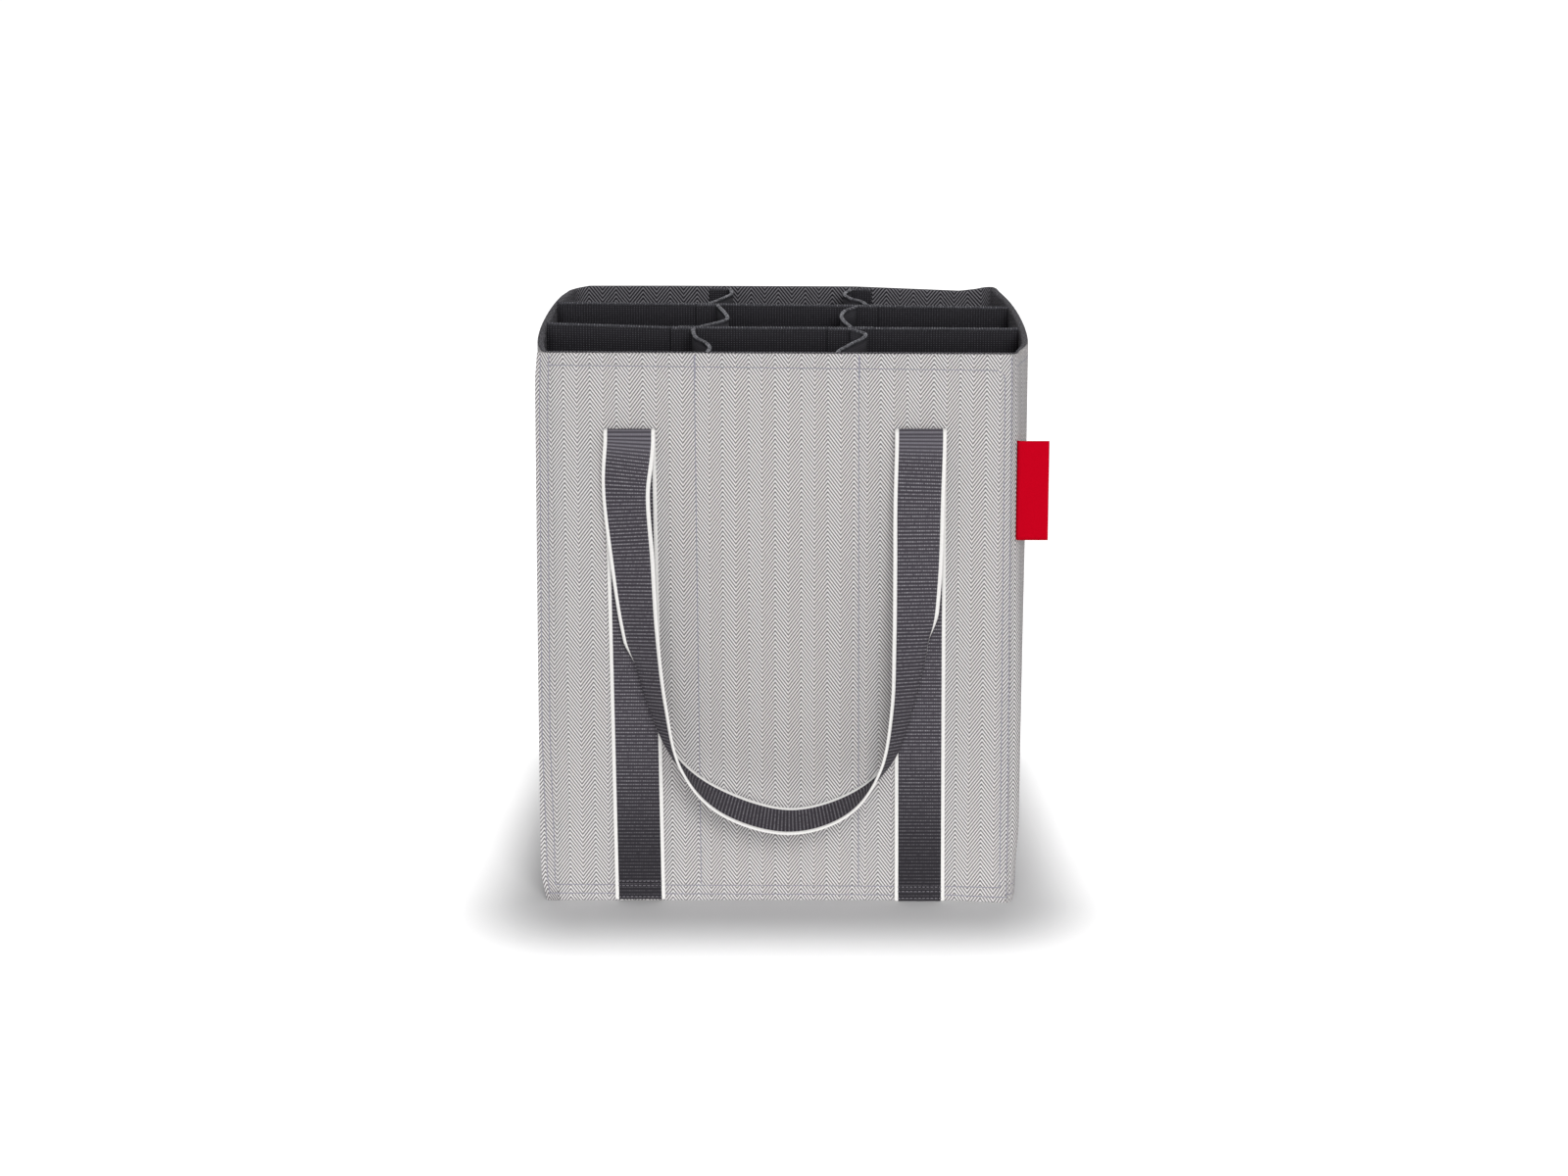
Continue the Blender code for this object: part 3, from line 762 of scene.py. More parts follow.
def lane_path(lane, row):
    """The plan of a lane divider: a sewn tab, a rounded turn, the S-curve, a turn and a tab."""
    outward = -1 if lane == "left" else 1
    rear_way = -outward if (lane, row) in TABS_TURNED_IN else outward
    rear = ROWS[row][0] - LANE_THICKNESS / 2 - LANE_TAB_RADIUS
    front = ROWS[row][1] + LANE_THICKNESS / 2 + LANE_TAB_RADIUS
    knots = [Vector((outward * (LANE_LINE - LANE_SWAY * sway), rear + (front - rear) * share))
             for share, sway in LANE_SWING_SHARES[lane, row]]
    turn = turning(math.pi / 2, 8)[:-1]
    head, foot = knots[0], knots[-1]
    path = [head + Vector((rear_way * LANE_TAB_LENGTH, LANE_TAB_RADIUS))]
    path += [head + Vector((rear_way * (1 - math.sin(a)), math.cos(a))) * LANE_TAB_RADIUS
             for a in turn]
    path += curve_through(knots, steps=12)[:-1]
    path += [foot + Vector((outward * (1 - math.cos(a)), -math.sin(a))) * LANE_TAB_RADIUS
             for a in turn]
    path.append(foot + Vector((outward, -1)) * LANE_TAB_RADIUS)
    path.append(foot + Vector((outward * LANE_TAB_LENGTH, -LANE_TAB_RADIUS)))
    return evenly(path, PATH_STEP)


def headings(path):
    return [(ahead - behind).normalized() for behind, ahead in
            zip([path[0], *path[:-1]], [*path[1:], path[-1]])]


def section_edge(thickness, low, high):
    """Aside and height round a strip that stands on edge, with its top edge rounded."""
    half = thickness / 2
    climb = [low + (high - half - low) * k / STRIP_LEVELS for k in range(STRIP_LEVELS + 1)]
    over = [(half * math.cos(a), high - half + half * math.sin(a)) for a in turning(math.pi, 6)[1:-1]]
    return [(half, z) for z in climb] + over + [(-half, z) for z in reversed(climb)] + [(half, low)]


def upright(name, path, thickness, low, high, fit=None):
    """A strip of cloth that stands on edge along a path in plan, perhaps fitted at each height."""
    grid, run = [], 0
    for k, (point, heading) in enumerate(zip(path, headings(path))):
        run += (point - path[max(0, k - 1)]).length
        aside = Vector((-heading.y, heading.x))
        row = []
        for out, height in section_edge(thickness, low, high):
            spot = (point + aside * out).to_3d() + UP * height
            row.append((fit(spot) if fit else spot, (run, height)))
        grid.append(row)
    return cloth_layer(name, grid, closed=True)


def raised(spot):
    """Lifts a point of a divider by its share of the top edge's own unevenness."""
    lifts = [(y, between(stations, spot.x)) for y, stations in DIVIDER_LIFTS]
    return spot + UP * between(lifts, spot.y) * (spot.z / DIVIDER_TOP) ** 3


def within_sides(spot):
    """Moves a point of a cross divider with the bulge of the side walls at its height."""
    place = math.copysign(CROSS_PLACE, spot.y)
    here = on_wall("right", place, INSIDE_INSET, spot.z).x
    whole = on_wall("right", place, INSIDE_INSET, RIM).x
    return raised(Vector((spot.x * here / whole, spot.y, spot.z)))


def thread_shape(name, points, radius):
    """A short piece of thread along the points, with six sides."""
    line = bpy.data.curves.new(name, "CURVE")
    line.dimensions = "3D"
    line.bevel_depth = radius
    line.bevel_resolution = 1
    line.use_fill_caps = True
    spline = line.splines.new("POLY")
    spline.points.add(len(points) - 1)
    for spot, point in zip(spline.points, points):
        spot.co = (*point, 1)
    thread = bpy.data.objects.new(name, line)
    bpy.context.collection.objects.link(thread)
    bpy.context.view_layer.objects.active = thread
    thread.select_set(True)
    bpy.ops.object.convert(target="MESH")
    mesh = bpy.context.object.data
    bpy.data.objects.remove(bpy.context.object)
    return mesh


def sewn(name, stitch, frames, colour, crown=None):
    """One piece of many stitches: a copy of the same one at each frame, perhaps paler on top."""
    verts, faces = [], []
    for matrix in frames:
        first = len(verts)
        verts += [matrix @ vert.co for vert in stitch.vertices]
        faces += [[first + k for k in face.vertices] for face in stitch.polygons]
    mesh = bpy.data.meshes.new(name)
    mesh.from_pydata(verts, [], faces)
    mesh.shade_smooth()
    mesh.materials.append(colour)
    if crown:
        mesh.materials.append(crown)
        tops = [face.center.z > -LOOP_CROWN for face in stitch.polygons]
        mesh.polygons.foreach_set("material_index", tops * len(frames))
    seam = bpy.data.objects.new(name, mesh)
    bpy.context.collection.objects.link(seam)
    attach(seam, "bag")
    return seam


def frame_of(spot, heading, up):
    """The turned place of a stitch: its length along the heading, its back towards up."""
    aside = up.cross(heading).normalized()
    turned = Matrix((heading, aside, heading.cross(aside))).transposed().to_4x4()
    return Matrix.Translation(spot) @ turned


def ribbed_cloth(name, dark, light):
    """Black cloth with upright ribs and small pale dots, and one tone of thread over its top."""
    material, tree, shader = finish(name, Roughness=0.85, Specular_IOR_Level=0.25)
    place, across, height = in_cloth(tree)
    rib = ridges(tree, across, RIB_PITCH)
    dot = ridges(tree, height, DOT_PITCH)
    spots = soft_step(tree, maths(tree, "MULTIPLY", rib, dot), 0.45, 0.9)
    spots = maths(tree, "MULTIPLY", spots, speckle(tree, place, scale=700))
    # painted light: each strip is painted lighter towards its top, where the lamps reach over the deep
    # cells
    painted_top_light = soft_step(tree, height, DIVIDER_TOP - LIT_TOP_DEPTH, DIVIDER_TOP)
    tone = two_colours(tree, maths(tree, "MULTIPLY", maths(tree, "ADD", rib, 0.5), painted_top_light),
                       dark, light)
    tone = two_colours(tree, spots, tone, (0.20, 0.197, 0.22, 1))
    bound = soft_step(tree, height, *(DIVIDER_TOP - below for below in BOUND_BELOW_TOP))
    paint(tree, shader, bound, tone, (0.055, 0.054, 0.064, 1))
    relief(tree, shader, maths(tree, "ADD", rib, maths(tree, "MULTIPLY", dot, 0.5)), RIB_DEPTH)
    return material


def thread_finish(name, dark, light):
    material, tree, shader = finish(name, Roughness=0.6)
    strands = speckle(tree, in_space(tree), scale=800)
    paint(tree, shader, soft_step(tree, strands, 0.35, 0.7), dark, light)
    relief(tree, shader, strands, STRAND_DEPTH)
    return material


# the lane strips get a much lighter top than the cross strips: more painted light on their faces
cross_cloth = ribbed_cloth("cross_black_cloth", (0.0085, 0.0078, 0.0105, 1), (0.018, 0.017, 0.021, 1))
lane_cloth = ribbed_cloth("lane_black_cloth", (0.011, 0.0105, 0.0135, 1), (0.055, 0.053, 0.062, 1))
overlock_thread = thread_finish("overlock_thread", (0.010, 0.010, 0.013, 1), (0.045, 0.045, 0.052, 1))
# the crowns of the overlock loops are given a paler thread than their legs
pale_crown_thread = thread_finish("pale_crown_overlock_thread", (0.05, 0.05, 0.058, 1), (0.36, 0.36, 0.39, 1))


def overlock(name, path, thickness, fit):
    """Loops of thread over a top edge, each with a leg down both faces."""
    half = thickness / 2 + LOOP_THREAD / 2
    belly = half + LOOP_BELLY
    loop = thread_shape(name, (
        (-LOOP_LEGS_BEHIND, half, -LOOP_LEG), (0, belly, -LOOP_LEG / 3), (0, half, -LOOP_SHOULDER),
        (LOOP_OVER / 2, 0, LOOP_THREAD / 2), (LOOP_OVER, -half, -LOOP_SHOULDER),
        (LOOP_OVER, -belly, -LOOP_LEG / 3), (LOOP_OVER - LOOP_LEGS_BEHIND, -half, -LOOP_LEG)),
        LOOP_THREAD)
    even = evenly(path, LOOP_PITCH)
    frames = []
    for point, heading in zip(even[1:-1], headings(even)[1:-1]):
        spot = point.to_3d() + UP * DIVIDER_TOP
        frames.append(frame_of(fit(spot), heading.to_3d(), UP))
    return sewn(name, loop, frames, overlock_thread, pale_crown_thread)


def divider(name, node, path, thickness, cloth, fit):
    strip = upright(name, path, thickness, DIVIDER_LOW, DIVIDER_TOP, fit)
    strip.data.materials.append(cloth)
    loops = overlock(node + "_overlock", path, thickness, fit)
    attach(strip, "bag")
    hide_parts(node)
    return strip


for node, place in (("front_cross_divider", -CROSS_PLACE), ("rear_cross_divider", CROSS_PLACE)):
    end = on_wall("right", place, INSIDE_INSET, RIM).x
    path = evenly([Vector((-end, place)), Vector((end, place))], PATH_STEP * 4)
    divider(node.replace("divider", "strip"), node, path, CROSS_THICKNESS, cross_cloth, within_sides)

for lane, row in LANE_SWING_SHARES:
    path = lane_path(lane, row)
    node = "lane_divider_" + lane + "_" + row
    strip = divider(node.replace("divider", "strip"), node, path, LANE_THICKNESS, lane_cloth, raised)
    # the tabs at its ends take the cross strips' cloth, so their top is painted less light
    strip.data.materials.append(cross_cloth)
    own_place = strip.data.uv_layers["cloth"].data
    tab_run = LANE_TAB_LENGTH + LANE_TAB_RADIUS
    last_tab = max(loop.uv.x for loop in own_place) - tab_run
    for face in strip.data.polygons:
        run = own_place[face.loop_start].uv.x
        face.material_index = run < tab_run or run > last_tab

# Webbing.
# Ribbed dark webbing with an off-white selvedge is sewn up the front and the back in two runs,
# turns over at the top of each, and hangs free between them as a handle that twists as it falls.

WEBBING_WIDTH = 0.0254
WEBBING_THICKNESS = 0.0014
WEBBING_RIB = 0.0018
WEBBING_DOT = 0.00085
RIB_RELIEF = 0.00012
RIB_CLEAR = 0.0002
SELVEDGE = 0.0019
SELVEDGE_BLUR = 0.0001
STRAP_FROM_SIDE_AT_FOOT = 0.0494
STRAP_FROM_SIDE_AT_HEAD = 0.04865
STRAP_SHIFT_AT_FOOT = -0.0014
STRAP_SHIFT_AT_HEAD = -0.00375
STRAP_FOOT_HEIGHT = {"left": 0.0013, "right": 0.0004}
FOOT_HEM_BELOW = 0.0005
FOOT_HEM_STAND = 0.0003
FOOT_HEM_OVER = 0.001
FOOT_DENT = 0.00028
FOOT_DENT_ABOVE = 0.0006
FOOT_DENT_REACH = 0.0012
FOOT_STITCH_ROWS = {"left": (0.0109, 0.0085, 0.0026), "right": (0.0076, 0.0052, 0.0018)}
FOOT_SHADE_FROM = 0.013
FOOT_SHADE_TO = 0.095
FOOT_SHADE = 0.74
# how far under the fold the webbing's ribs are painted paler, as a painted highlight
HIGHLIGHT_BELOW_FOLD = (0.014, 0.003)
HANDLE_CLOTH_START = 0.25
CURL_MARGIN = 0.006
LEAST_CURL = 0.01
CURL_SOONER_AT_RIGHT = 0.075
CURL_SOONER_UP_TO = 0.60
# how far the margin curls back, at shares of the drop: first a little towards the front
CURLS = ((0.12, 0), (0.30, -0.45), (0.53, -0.50), (0.60, 1.35), (0.84, 1.10), (0.92, 0.60),
         (1.00, 0.45))
FOOT_STITCH = 0.0012
FOOT_STITCH_PITCH = 0.0021
FOOT_STITCHES_ASIDE = 5
FOOT_STITCH_SUNK = 0.00005
FOOT_THREAD = 0.0002
FOLD_HEIGHT = 0.2401
FOLD_STAND = 0.0033
FOLD_RADIUS = 0.0023
HANDLE_DROP = 0.1922
HANDLE_STAND = 0.0150
STAND_POWER = 0.95

# The hanging handle from left to right: shares of the half spread across, of the drop, and of
# a quarter turn of twist
HANDLE_ROUTE_SHARES = (
    (-1.0, 0.0, 0.0), (-1.025, 0.143, 0.22), (-0.984, 0.314, 0.33), (-0.931, 0.499, 0.48),
    (-0.837, 0.684, 0.66), (-0.682, 0.845, 0.88), (-0.372, 0.950, 1.11), (0.081, 1.0, 1.13),
    (0.492, 0.960, 1.06), (0.775, 0.853, 0.80), (0.900, 0.693, 0.60), (0.957, 0.517, 0.37),
    (0.982, 0.340, 0.18), (0.990, 0.166, 0.04), (1.0, 0.0, 0.0),
)
SPREAD_AT_FOOT = HALF_WIDTH - STRAP_FROM_SIDE_AT_FOOT
SPREAD_AT_HEAD = HALF_WIDTH - STRAP_FROM_SIDE_AT_HEAD

webbing, tree, shader = finish("two_tone_webbing", Roughness=0.78, Specular_IOR_Level=0.3)
place, across, along = in_cloth(tree)
border = WEBBING_WIDTH / 2 - SELVEDGE
selvedge = soft_step(tree, maths(tree, "ABSOLUTE", across), border - SELVEDGE_BLUR,
                     border + SELVEDGE_BLUR)
row = ridges(tree, along, WEBBING_RIB)
dot = ridges(tree, across, WEBBING_DOT)
uneven = speckle(tree, place, scale=800)
lit = maths(tree, "MULTIPLY", soft_step(tree, row, 0.55, 0.9), soft_step(tree, dot, 0.2, 0.8))
lit = maths(tree, "MULTIPLY", lit, soft_step(tree, uneven, 0.25, 0.7))
body = two_colours(tree, row, (0.030, 0.026, 0.034, 1), (0.072, 0.064, 0.079, 1))
body = two_colours(tree, lit, body, (0.42, 0.41, 0.44, 1))
height = apart(tree, in_space(tree))["Z"]
# painted highlight: the ribs just under each fold are paler, where the turn catches light from above
painted_fold_highlight = soft_step(tree, height, *(FOLD_HEIGHT - below for below in HIGHLIGHT_BELOW_FOLD))
body = two_colours(tree, maths(tree, "MULTIPLY", painted_fold_highlight, row), body, (0.15, 0.142, 0.165, 1))
# painted shade: each sewn strap is painted darker over its lowest 95 mm, darkest at its foot
painted_foot_shade = soft_step(tree, along, FOOT_SHADE_FROM, FOOT_SHADE_TO)
body = two_colours(tree, maths(tree, "MULTIPLY_ADD", painted_foot_shade, FOOT_SHADE, 1 - FOOT_SHADE),
                   (0.006, 0.005, 0.008, 1), body)
pale = two_colours(tree, uneven, (0.75, 0.735, 0.72, 1), (0.87, 0.86, 0.84, 1))
paint(tree, shader, selvedge, body, pale)
relief(tree, shader, maths(tree, "ADD", row, maths(tree, "MULTIPLY", dot, 0.4)), RIB_RELIEF)

# across the webbing and out from its middle, with a groove where the selvedge meets the ribs
HALF_WEB = WEBBING_WIDTH / 2
ONE_FACE = ((-HALF_WEB, 0), (-HALF_WEB + 0.0001, 0.0004), (-HALF_WEB + 0.0005, 0.00064),
            (-HALF_WEB + 0.0012, 0.0007), (-border - 0.00015, 0.00062), (-border, 0.0005),
            (-border + 0.0003, 0.00058), (-0.0085, 0.0006), (-0.0051, 0.0006), (-0.0017, 0.0006))
ONE_FACE += tuple((-u, t) for u, t in reversed(ONE_FACE))
WEB_SECTION = ONE_FACE[:-1] + tuple((u, -t) for u, t in reversed(ONE_FACE))


def curled(u, t, angle):
    """A point of the section with its outer margin, at negative u, curled back by an angle."""
    margin = -u - (HALF_WEB - CURL_MARGIN)
    if margin <= 0 or abs(angle) < LEAST_CURL:
        return u, t
    here = angle * margin / CURL_MARGIN
    radius = CURL_MARGIN / angle
    return (CURL_MARGIN - HALF_WEB - radius * math.sin(here) - t * math.sin(here),
            t * math.cos(here) - radius * (1 - math.cos(here)))


def strip_of_webbing(name, route, start):
    """Webbing along a route of (middle, way across, way of its face and its margin's curl).

    Its own length there, from which its ribs count, is start.
    """
    grid, along = [], start
    for k, (middle, across, face, curl) in enumerate(route):
        along += (middle - route[max(0, k - 1)][0]).length
        wave = RIB_RELIEF * math.cos(2 * math.pi * along / WEBBING_RIB)
        row = []
        for u, t in WEB_SECTION:
            rise = math.copysign(wave, t) if abs(u) < border - RIB_CLEAR else 0
            out, up = curled(u, t - rise / 2, curl)
            row.append((middle + across * out + face * up, (u, along)))
        grid.append(row)
    strip = cloth_layer(name, grid, closed=True)
    strip.data.materials.append(webbing)
    return strip, along


def off_panel(side, across, stand, height):
    outward = SIDES[side][1]
    return Vector((across, 0, height)) + outward * (HALF_DEPTH + stand)


def straight(start, end, step):
    count = math.ceil((end - start).length / step)
    return [start.lerp(end, k / count) for k in range(count + 1)]


def handle_route(side):
    """The middle line of the free loop, with its way across and its face at each point."""
    outward = SIDES[side][1]
    knots = []
    for across_share, drop_share, twist_share in HANDLE_ROUTE_SHARES:
        stand = FOLD_STAND + FOLD_RADIUS + HANDLE_STAND * drop_share ** STAND_POWER
        knots.append(Vector((STRAP_SHIFT_AT_HEAD + across_share * SPREAD_AT_HEAD,
                             FOLD_HEIGHT - SEWN_GAP - HANDLE_DROP * drop_share,
                             stand, twist_share * math.pi / 2)))
    even = evenly(curve_through(knots, steps=24), WEBBING_RIB / 4)
    points = [off_panel(side, place[0], place[2], place[1]) for place in even]
    route = []
    for k, (point, heading) in enumerate(zip(points, headings(points))):
        heading = -UP if k == 0 else UP if k == len(points) - 1 else heading
        forward = (outward - heading * heading.dot(outward)).normalized()
        inward = forward.cross(heading) * (-1 if side == "back" else 1)
        across = inward * math.cos(even[k][3]) + forward * math.sin(even[k][3])
        drop = (FOLD_HEIGHT - SEWN_GAP - point.z) / HANDLE_DROP
        sooner = CURL_SOONER_AT_RIGHT if point.x > 0 and drop < CURL_SOONER_UP_TO else 0
        curl = between(CURLS, drop + sooner)
        route.append((point, across, heading.cross(across), curl))
    return route


def foot_stand(height, row):
    """How the turned-under foot of a strap stands out, below the dent of its upper stitch row."""
    above = height - row
    hem = FOOT_HEM_STAND * (1 - part_way(above, -FOOT_HEM_BELOW, FOOT_HEM_OVER - FOOT_HEM_BELOW))
    return hem - FOOT_DENT * math.exp(-((above - FOOT_DENT_ABOVE) / FOOT_DENT_REACH) ** 2)


webbing_thread, tree, shader = finish("webbing_thread", Roughness=0.6)
strands = speckle(tree, in_space(tree), scale=1200)
paint(tree, shader, strands, (0.02, 0.018, 0.025, 1), (0.34, 0.32, 0.36, 1))
relief(tree, shader, strands, STRAND_DEPTH)

ACROSS = Vector((1, 0, 0))
foot_stitch = thread_shape("foot_stitch", (
    (-FOOT_STITCH / 2, 0, -FOOT_THREAD), (-FOOT_STITCH / 4, 0, 0),
    (FOOT_STITCH / 4, 0, 0), (FOOT_STITCH / 2, 0, -FOOT_THREAD)), FOOT_THREAD)
for side in ("front", "back"):
    foot_frames = []
    outward = SIDES[side][1]
    for lane, hand in (("left", -1), ("right", 1)):
        stand = SEWN_GAP + WEBBING_THICKNESS / 2
        head_across = STRAP_SHIFT_AT_HEAD + hand * SPREAD_AT_HEAD
        levels = FOOT_STITCH_ROWS[lane]
        foot = off_panel(side, STRAP_SHIFT_AT_FOOT + hand * SPREAD_AT_FOOT, stand,
                         STRAP_FOOT_HEIGHT[lane])
        head = off_panel(side, head_across, stand, FOLD_HEIGHT - SEWN_GAP)
        route = [(point + outward * (foot_stand(point.z, levels[0]) - swell(point.x, point.z)),
                  ACROSS, outward, 0) for point in straight(foot, head, WEBBING_RIB / 4)]
        strap, along = strip_of_webbing(side + "_sewn_" + lane, route, 0)
        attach(strap, "bag")
        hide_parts(side + "_strap_" + lane)
        for level in levels:
            middle = min(route, key=lambda step: abs(step[0].z - level))[0]
            for k in range(-FOOT_STITCHES_ASIDE, FOOT_STITCHES_ASIDE + 1):
                spot = middle + ACROSS * k * FOOT_STITCH_PITCH
                spot += outward * (WEBBING_THICKNESS / 2 - FOOT_STITCH_SUNK)
                foot_frames.append(frame_of(spot, ACROSS, outward))

        centre = off_panel(side, head_across, FOLD_STAND, FOLD_HEIGHT)
        ways = [UP * math.sin(a) - outward * math.cos(a) for a in turning(math.pi, 16)]
        route = [(centre + way * FOLD_RADIUS, ACROSS, way, 0) for way in ways]
        down = UP * -SEWN_GAP
        route = [(route[0][0] + down, ACROSS, ways[0], 0), *route,
                 (route[-1][0] + down, ACROSS, ways[-1], 0)]
        turned, along = strip_of_webbing(side + "_turn_" + lane, route, along)
        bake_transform(turned)
        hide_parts(side + "_fold_" + lane)

    rows = sewn(side + "_foot_stitches", foot_stitch, foot_frames, webbing_thread)

    loop, _ = strip_of_webbing(side + "_loop", handle_route(side), HANDLE_CLOTH_START)
    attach(loop, side + "_handle")
    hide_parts(side + "_handle")

# Corner flange.
# At the front's left corner, and at the back's, the cloth runs on past the corner seam and is
# turned back on itself, and two lines of stitches hold both layers together.

FLANGE_THICKNESS = 0.00025
FLANGE_ROOT = -0.1128
FLANGE_RETURN = -0.1146
FLANGE_EDGE = -0.1224
FLANGE_WIDTHS = ((0, 0.0095), (0.06, 0.0095), (0.17, 0.0090), (0.21, 0.0087), (0.26, 0.0084),
                 (0.28, 0.0080))
FLANGE_FACE = 0.000145
FLANGE_TURN = 0.00025
FLANGE_CLOTH_START = 0.0276
FLANGE_LOW = 0.0002
TOP_ROUNDING = (0.0019, 0.0018)
FOOT_ROUNDING = (0.0190, 0.0029)
BACK_SHARE = 0.987
# the back's flange is the front's, turned half round and a little shorter
TO_BACK = Matrix.Rotation(math.pi, 4, "Z") @ Matrix.Scale(BACK_SHARE, 4, UP)


def fitted_flange(spot):
    """Rounds the flange off at its top and foot, and lets it follow the panel's swell."""
    drop = sum(depth * max(0, 1 - away / over) ** 2 for away, (over, depth) in
               ((RIM - spot.z, TOP_ROUNDING), (spot.z, FOOT_ROUNDING)))
    share = max(0, FLANGE_ROOT - spot.x) / (FLANGE_ROOT - FLANGE_EDGE)
    out = share * (between(FLANGE_WIDTHS, spot.z) - drop)
    lift = RIM_SLANT * spot.x * (spot.z / RIM) ** 3
    return Vector((max(spot.x, FLANGE_ROOT) - out, spot.y + swell(FLANGE_ROOT, spot.z),
                   spot.z + lift))


near = FLANGE_FACE - HALF_DEPTH
far = near + 2 * FLANGE_TURN
turn_at = FLANGE_EDGE + FLANGE_THICKNESS / 2 + FLANGE_TURN
path = evenly([Vector((FLANGE_ROOT, near)), Vector((turn_at, near))], PATH_STEP)[:-1]
path += [Vector((turn_at - FLANGE_TURN * math.sin(a), near + FLANGE_TURN * (1 - math.cos(a))))
         for a in turning(math.pi, 8)]
path += evenly([Vector((turn_at, far)), Vector((FLANGE_RETURN, far))], PATH_STEP)[1:]
flange = upright("front_flange", path, FLANGE_THICKNESS, FLANGE_LOW, CLOTH_TOP, fitted_flange)
for loop in flange.data.uv_layers["cloth"].data:
    loop.uv.x += FLANGE_CLOTH_START
flange.data.materials.append(outer_cloth)
rear_flange = flange.copy()
rear_flange.name = "back_flange"
rear_flange.data = flange.data.copy()
rear_flange.data.transform(TO_BACK)
bpy.context.collection.objects.link(rear_flange)
for piece, side in ((flange, "front"), (rear_flange, "back")):
    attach(piece, "bag")

# Stitching.
# Grey lavender thread, 3 mm to the stitch, lies in the hollows that it draws into the cloth:
# along the seams and the hem, twice over the foot, up the dividers' lines and over the flanges.

STITCH_LENGTH = 0.0028
STITCH_PITCH = 0.0031
STITCH_THREAD = 0.00028
STITCH_SUNK = 0.0001
STITCH_DIP = 0.0003
STITCH_ARCH = 0.00004
STITCH_UNDER = 0.001
STITCH_SHOULDER = STITCH_LENGTH * 0.36
SEAM_STRAND_DEPTH = 0.00006
HEM_CORNER = 0.004
LINES_BELOW_TOP = 0.0008
BACKSTITCHED = 0.012
BACKSTITCH_ASIDE = 0.0004
FOOT_LINE_PAST = 0.002
FOOT_LINE_SHORT = 0.0006
SEAM_LINE_ASIDE = 0.0007
SEAM_LINE_LOW = 0.003
SIDE_LINES_SHORT = 0.003
SIDE_FOOT_LINE_SHORT = 0.001
FLANGE_LINES_SHORT = 0.0002
FLANGE_STITCH_STAND = 0.00005

seam_thread, tree, shader = finish("lavender_thread", Roughness=0.55, Sheen_Weight=0.2)
strands = speckle(tree, in_space(tree), scale=2200)
paint(tree, shader, strands, (0.20, 0.19, 0.24, 1), (0.38, 0.37, 0.43, 1))
relief(tree, shader, strands, SEAM_STRAND_DEPTH)

stitch = thread_shape("stitch", (
    (-STITCH_LENGTH / 2, 0, -STITCH_DIP), (-STITCH_SHOULDER, 0, -STITCH_ARCH), (0, 0, STITCH_ARCH),
    (STITCH_SHOULDER, 0, -STITCH_ARCH), (STITCH_LENGTH / 2, 0, -STITCH_DIP)), STITCH_THREAD)


def stitch_frames(line, place):
    """Frames along a line of (run, height), with place giving the point of the cloth there."""
    even = evenly([Vector(spot) for spot in line], STITCH_PITCH)
    frames = []
    for here, after in zip(even, even[1:]):
        start, end = place(*here, 0), place(*after, 0)
        up = start - place(*here, STITCH_UNDER)
        frames.append(frame_of((start + end) / 2, (end - start).normalized(), up.normalized()))
    return frames


def hemmed(pair, low, high):
    """A straight line up a panel, between two heights, from its (bottom, top) runs."""
    slope = (pair[1] - pair[0]) / RIM
    return [(pair[0] + slope * low, low), (pair[0] + slope * high, high)]


HEM_LEFT, HEM_RIGHT = (RIM - line for line in HEM_LINE)
LINE_TOP = CLOTH_TOP - LINES_BELOW_TOP
round_off = [(RIGHT_LINE[1] - HEM_CORNER * (1 - math.cos(a)),
              HEM_RIGHT - HEM_CORNER * (1 - math.sin(a)))
             for a in reversed(turning(math.pi / 2, 5))]
foot_at_left, foot_at_right = FOOT_LINE
low_at_left, low_at_right = LOW_LINE
BACKSTITCHES = [hemmed([run + BACKSTITCH_ASIDE for run in pair], LINE_TOP - BACKSTITCHED, LINE_TOP)
                for pair in (LEFT_DIVIDER_LINE, RIGHT_DIVIDER_LINE)]
FRONT_LINES = [
    hemmed(LEFT_LINE, low_at_left, LINE_TOP),
    [(LEFT_LINE[1], HEM_LEFT), *round_off,
     *reversed(hemmed(RIGHT_LINE, low_at_right, HEM_RIGHT - HEM_CORNER))],
    hemmed(LEFT_DIVIDER_LINE, low_at_left, LINE_TOP), hemmed(RIGHT_DIVIDER_LINE, low_at_right, LINE_TOP),
    [(LEFT_LINE[0], low_at_left), (RIGHT_LINE[0], low_at_right)],
    [(LEFT_LINE[0] - FOOT_LINE_PAST, foot_at_left), (RIGHT_SEAM[0] - FOOT_LINE_SHORT, foot_at_right)],
    hemmed([run - SEAM_LINE_ASIDE for run in RIGHT_SEAM], SEAM_LINE_LOW, LINE_TOP), *BACKSTITCHES,
]
side_left, side_right = RIGHT_SEAM[0] - AROUND_CORNER, LEFT_SEAM[0] + AROUND_CORNER
SIDE_LINES = [
    *([(side_left + short, left), (side_right - short, right)] for short, left, right in (
        (SIDE_LINES_SHORT, HEM_LEFT, HEM_RIGHT), (SIDE_LINES_SHORT, low_at_left, low_at_right),
        (SIDE_FOOT_LINE_SHORT, foot_at_left, foot_at_right))),
    *([(run, low_at_left), (run, LINE_TOP)] for run in (-CROSS_PLACE, CROSS_PLACE)),
]


def in_hollow(side):
    """The place of a thread on a panel, with the swell of the cloth and the line's own hollow."""
    return lambda run, height, deeper: on_wall(
        side, run, STITCH_DEPTH - STITCH_SUNK + swell(run, height) + deeper, height)


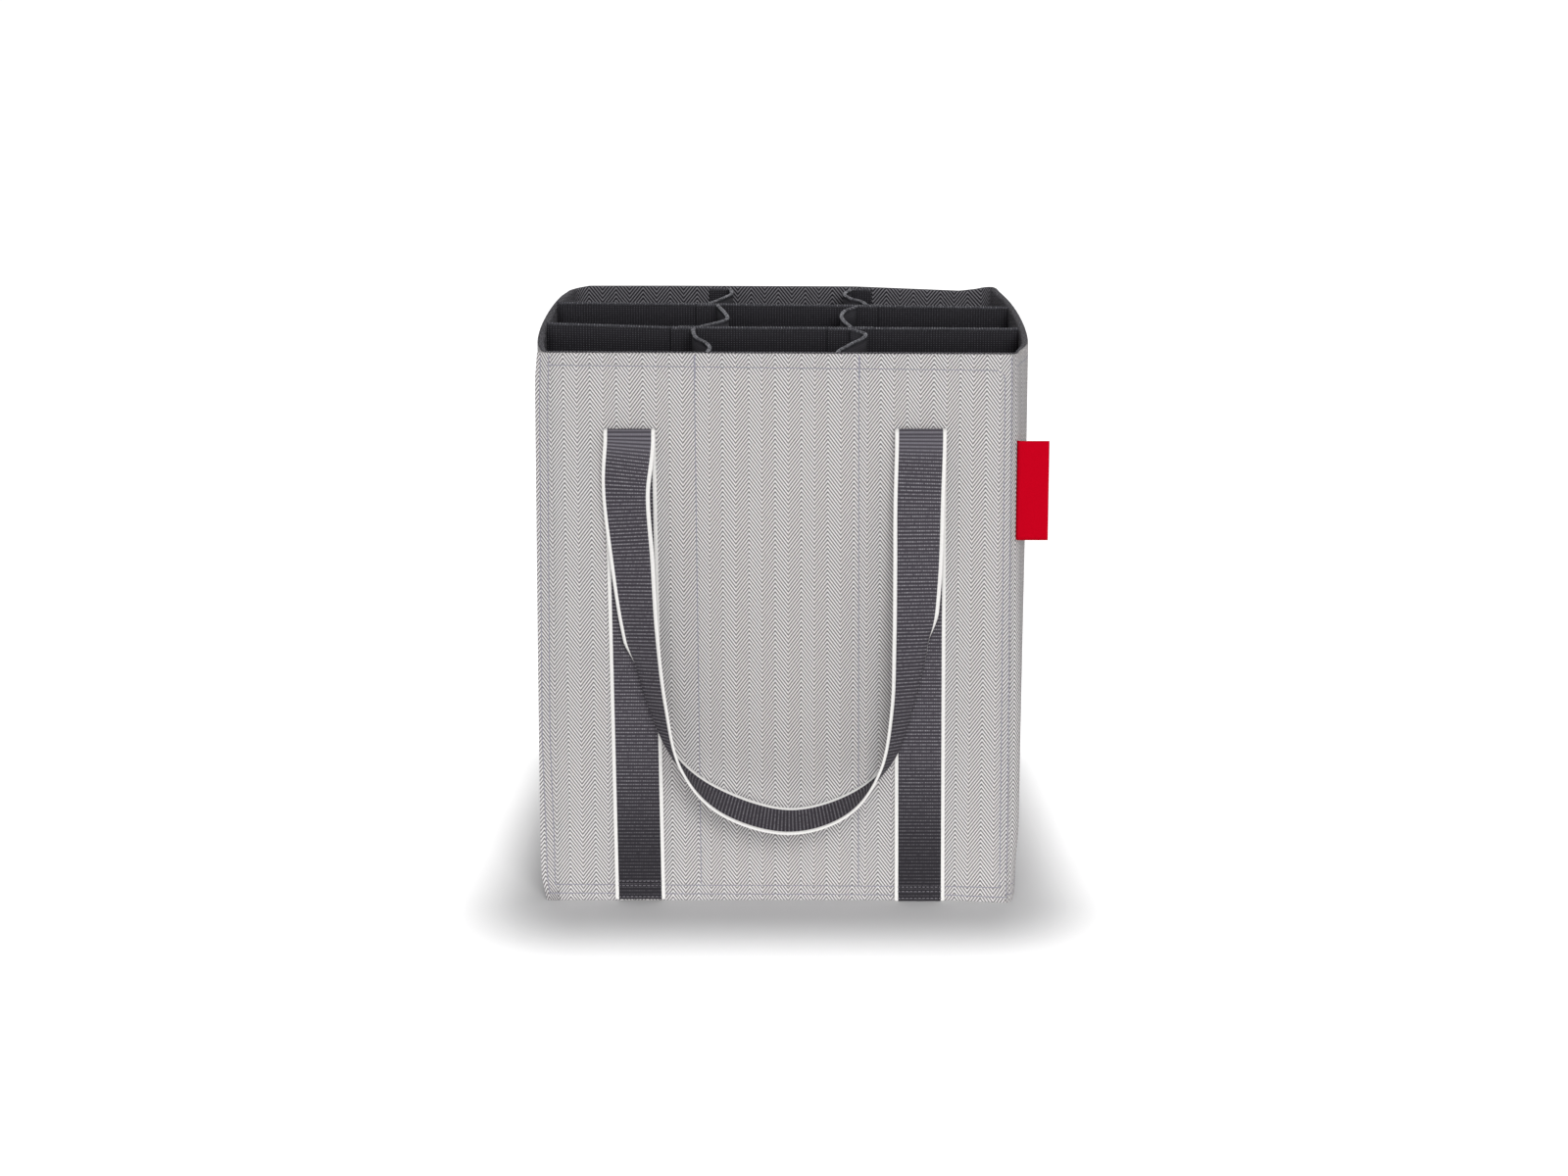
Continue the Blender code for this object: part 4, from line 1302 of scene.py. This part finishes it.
for side, lines in (("front", FRONT_LINES), ("right", SIDE_LINES), ("back", FRONT_LINES),
                    ("left", SIDE_LINES)):
    frames = [frame for line in lines for frame in stitch_frames(line, in_hollow(side))]
    seam = sewn(side + "_stitches", stitch, frames, seam_thread)


def on_flange(run, height, deeper):
    spot = fitted_flange(Vector((run, near - FLANGE_THICKNESS / 2 - FLANGE_STITCH_STAND, height)))
    return spot + Vector((0, deeper, 0))


# two lines up the flange, as (run, height), and three across it, which carry on the panel's own
FLANGE_LINES = [
    [(-0.1192, 0.004), (-0.1193, 0.03), (-0.1207, 0.087), (-0.1199, 0.255), (-0.1194, 0.2777)],
    [(-0.1153, low_at_left), (-0.1153, 0.03), (-0.1167, 0.087), (-0.1155, 0.255), (-0.1144, LINE_TOP)],
]
FLANGE_LINES += [[(run, height), (FLANGE_ROOT - FLANGE_LINES_SHORT, height)] for run, height in
                 ((-0.1148, HEM_LEFT), (-0.1153, low_at_left), (-0.1192, foot_at_left))]
frames = [frame for line in FLANGE_LINES for frame in stitch_frames(line, on_flange)]
frames += [TO_BACK @ frame for frame in frames]
sewn("flange_stitches", stitch, frames, seam_thread)

# Side tab.
# A bare red ribbon is folded double round its outer edge, and both ends are caught in the
# seam between the front and the right panel.

TAB_LOW = 0.1866
TAB_HIGH = 0.2362
TAB_ROOT = ((0.1153, -0.1182), (0.1164, -0.1197))
TAB_THICKNESS = 0.0004
TAB_FOLD = 0.0005
TAB_OUTER = 0.1303
RIBBON_PICK = 0.0003
PICK_DEPTH = 0.00004

red_ribbon, tree, shader = finish("red_ribbon", Roughness=0.9, Specular_IOR_Level=0)
place, _, height = in_cloth(tree)
pick = ridges(tree, height, RIBBON_PICK)
fleck = maths(tree, "MULTIPLY", pick, speckle(tree, place, scale=1500))
paint(tree, shader, fleck, (0.45, 0.0006, 0.009, 1), (0.68, 0.0022, 0.020, 1))
relief(tree, shader, pick, PICK_DEPTH)

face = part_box("side_tab")[0].y + TAB_THICKNESS / 2
middle = face + TAB_FOLD
back = middle + TAB_FOLD
root, caught = (Vector(spot) for spot in TAB_ROOT)
shift = Vector((0, face - TAB_ROOT[1][1]))
path = [root + shift, *straight(caught + shift, Vector((TAB_OUTER, face)), PATH_STEP)[:-1]]
path += [Vector((TAB_OUTER + TAB_FOLD * math.sin(a), middle - TAB_FOLD * math.cos(a)))
         for a in turning(math.pi, 12)]
shift.y += 2 * TAB_FOLD
path += [*straight(Vector((TAB_OUTER, back)), caught + shift, PATH_STEP)[1:], root + shift]
tab = upright("red_tab", path, TAB_THICKNESS, TAB_LOW, TAB_HIGH)
tab.data.materials.append(red_ribbon)
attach(tab, "bag")
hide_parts("side_tab")

size = {"cad": [list(corner) for corner in cad_box],
        "visual": [list(corner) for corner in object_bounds()]}
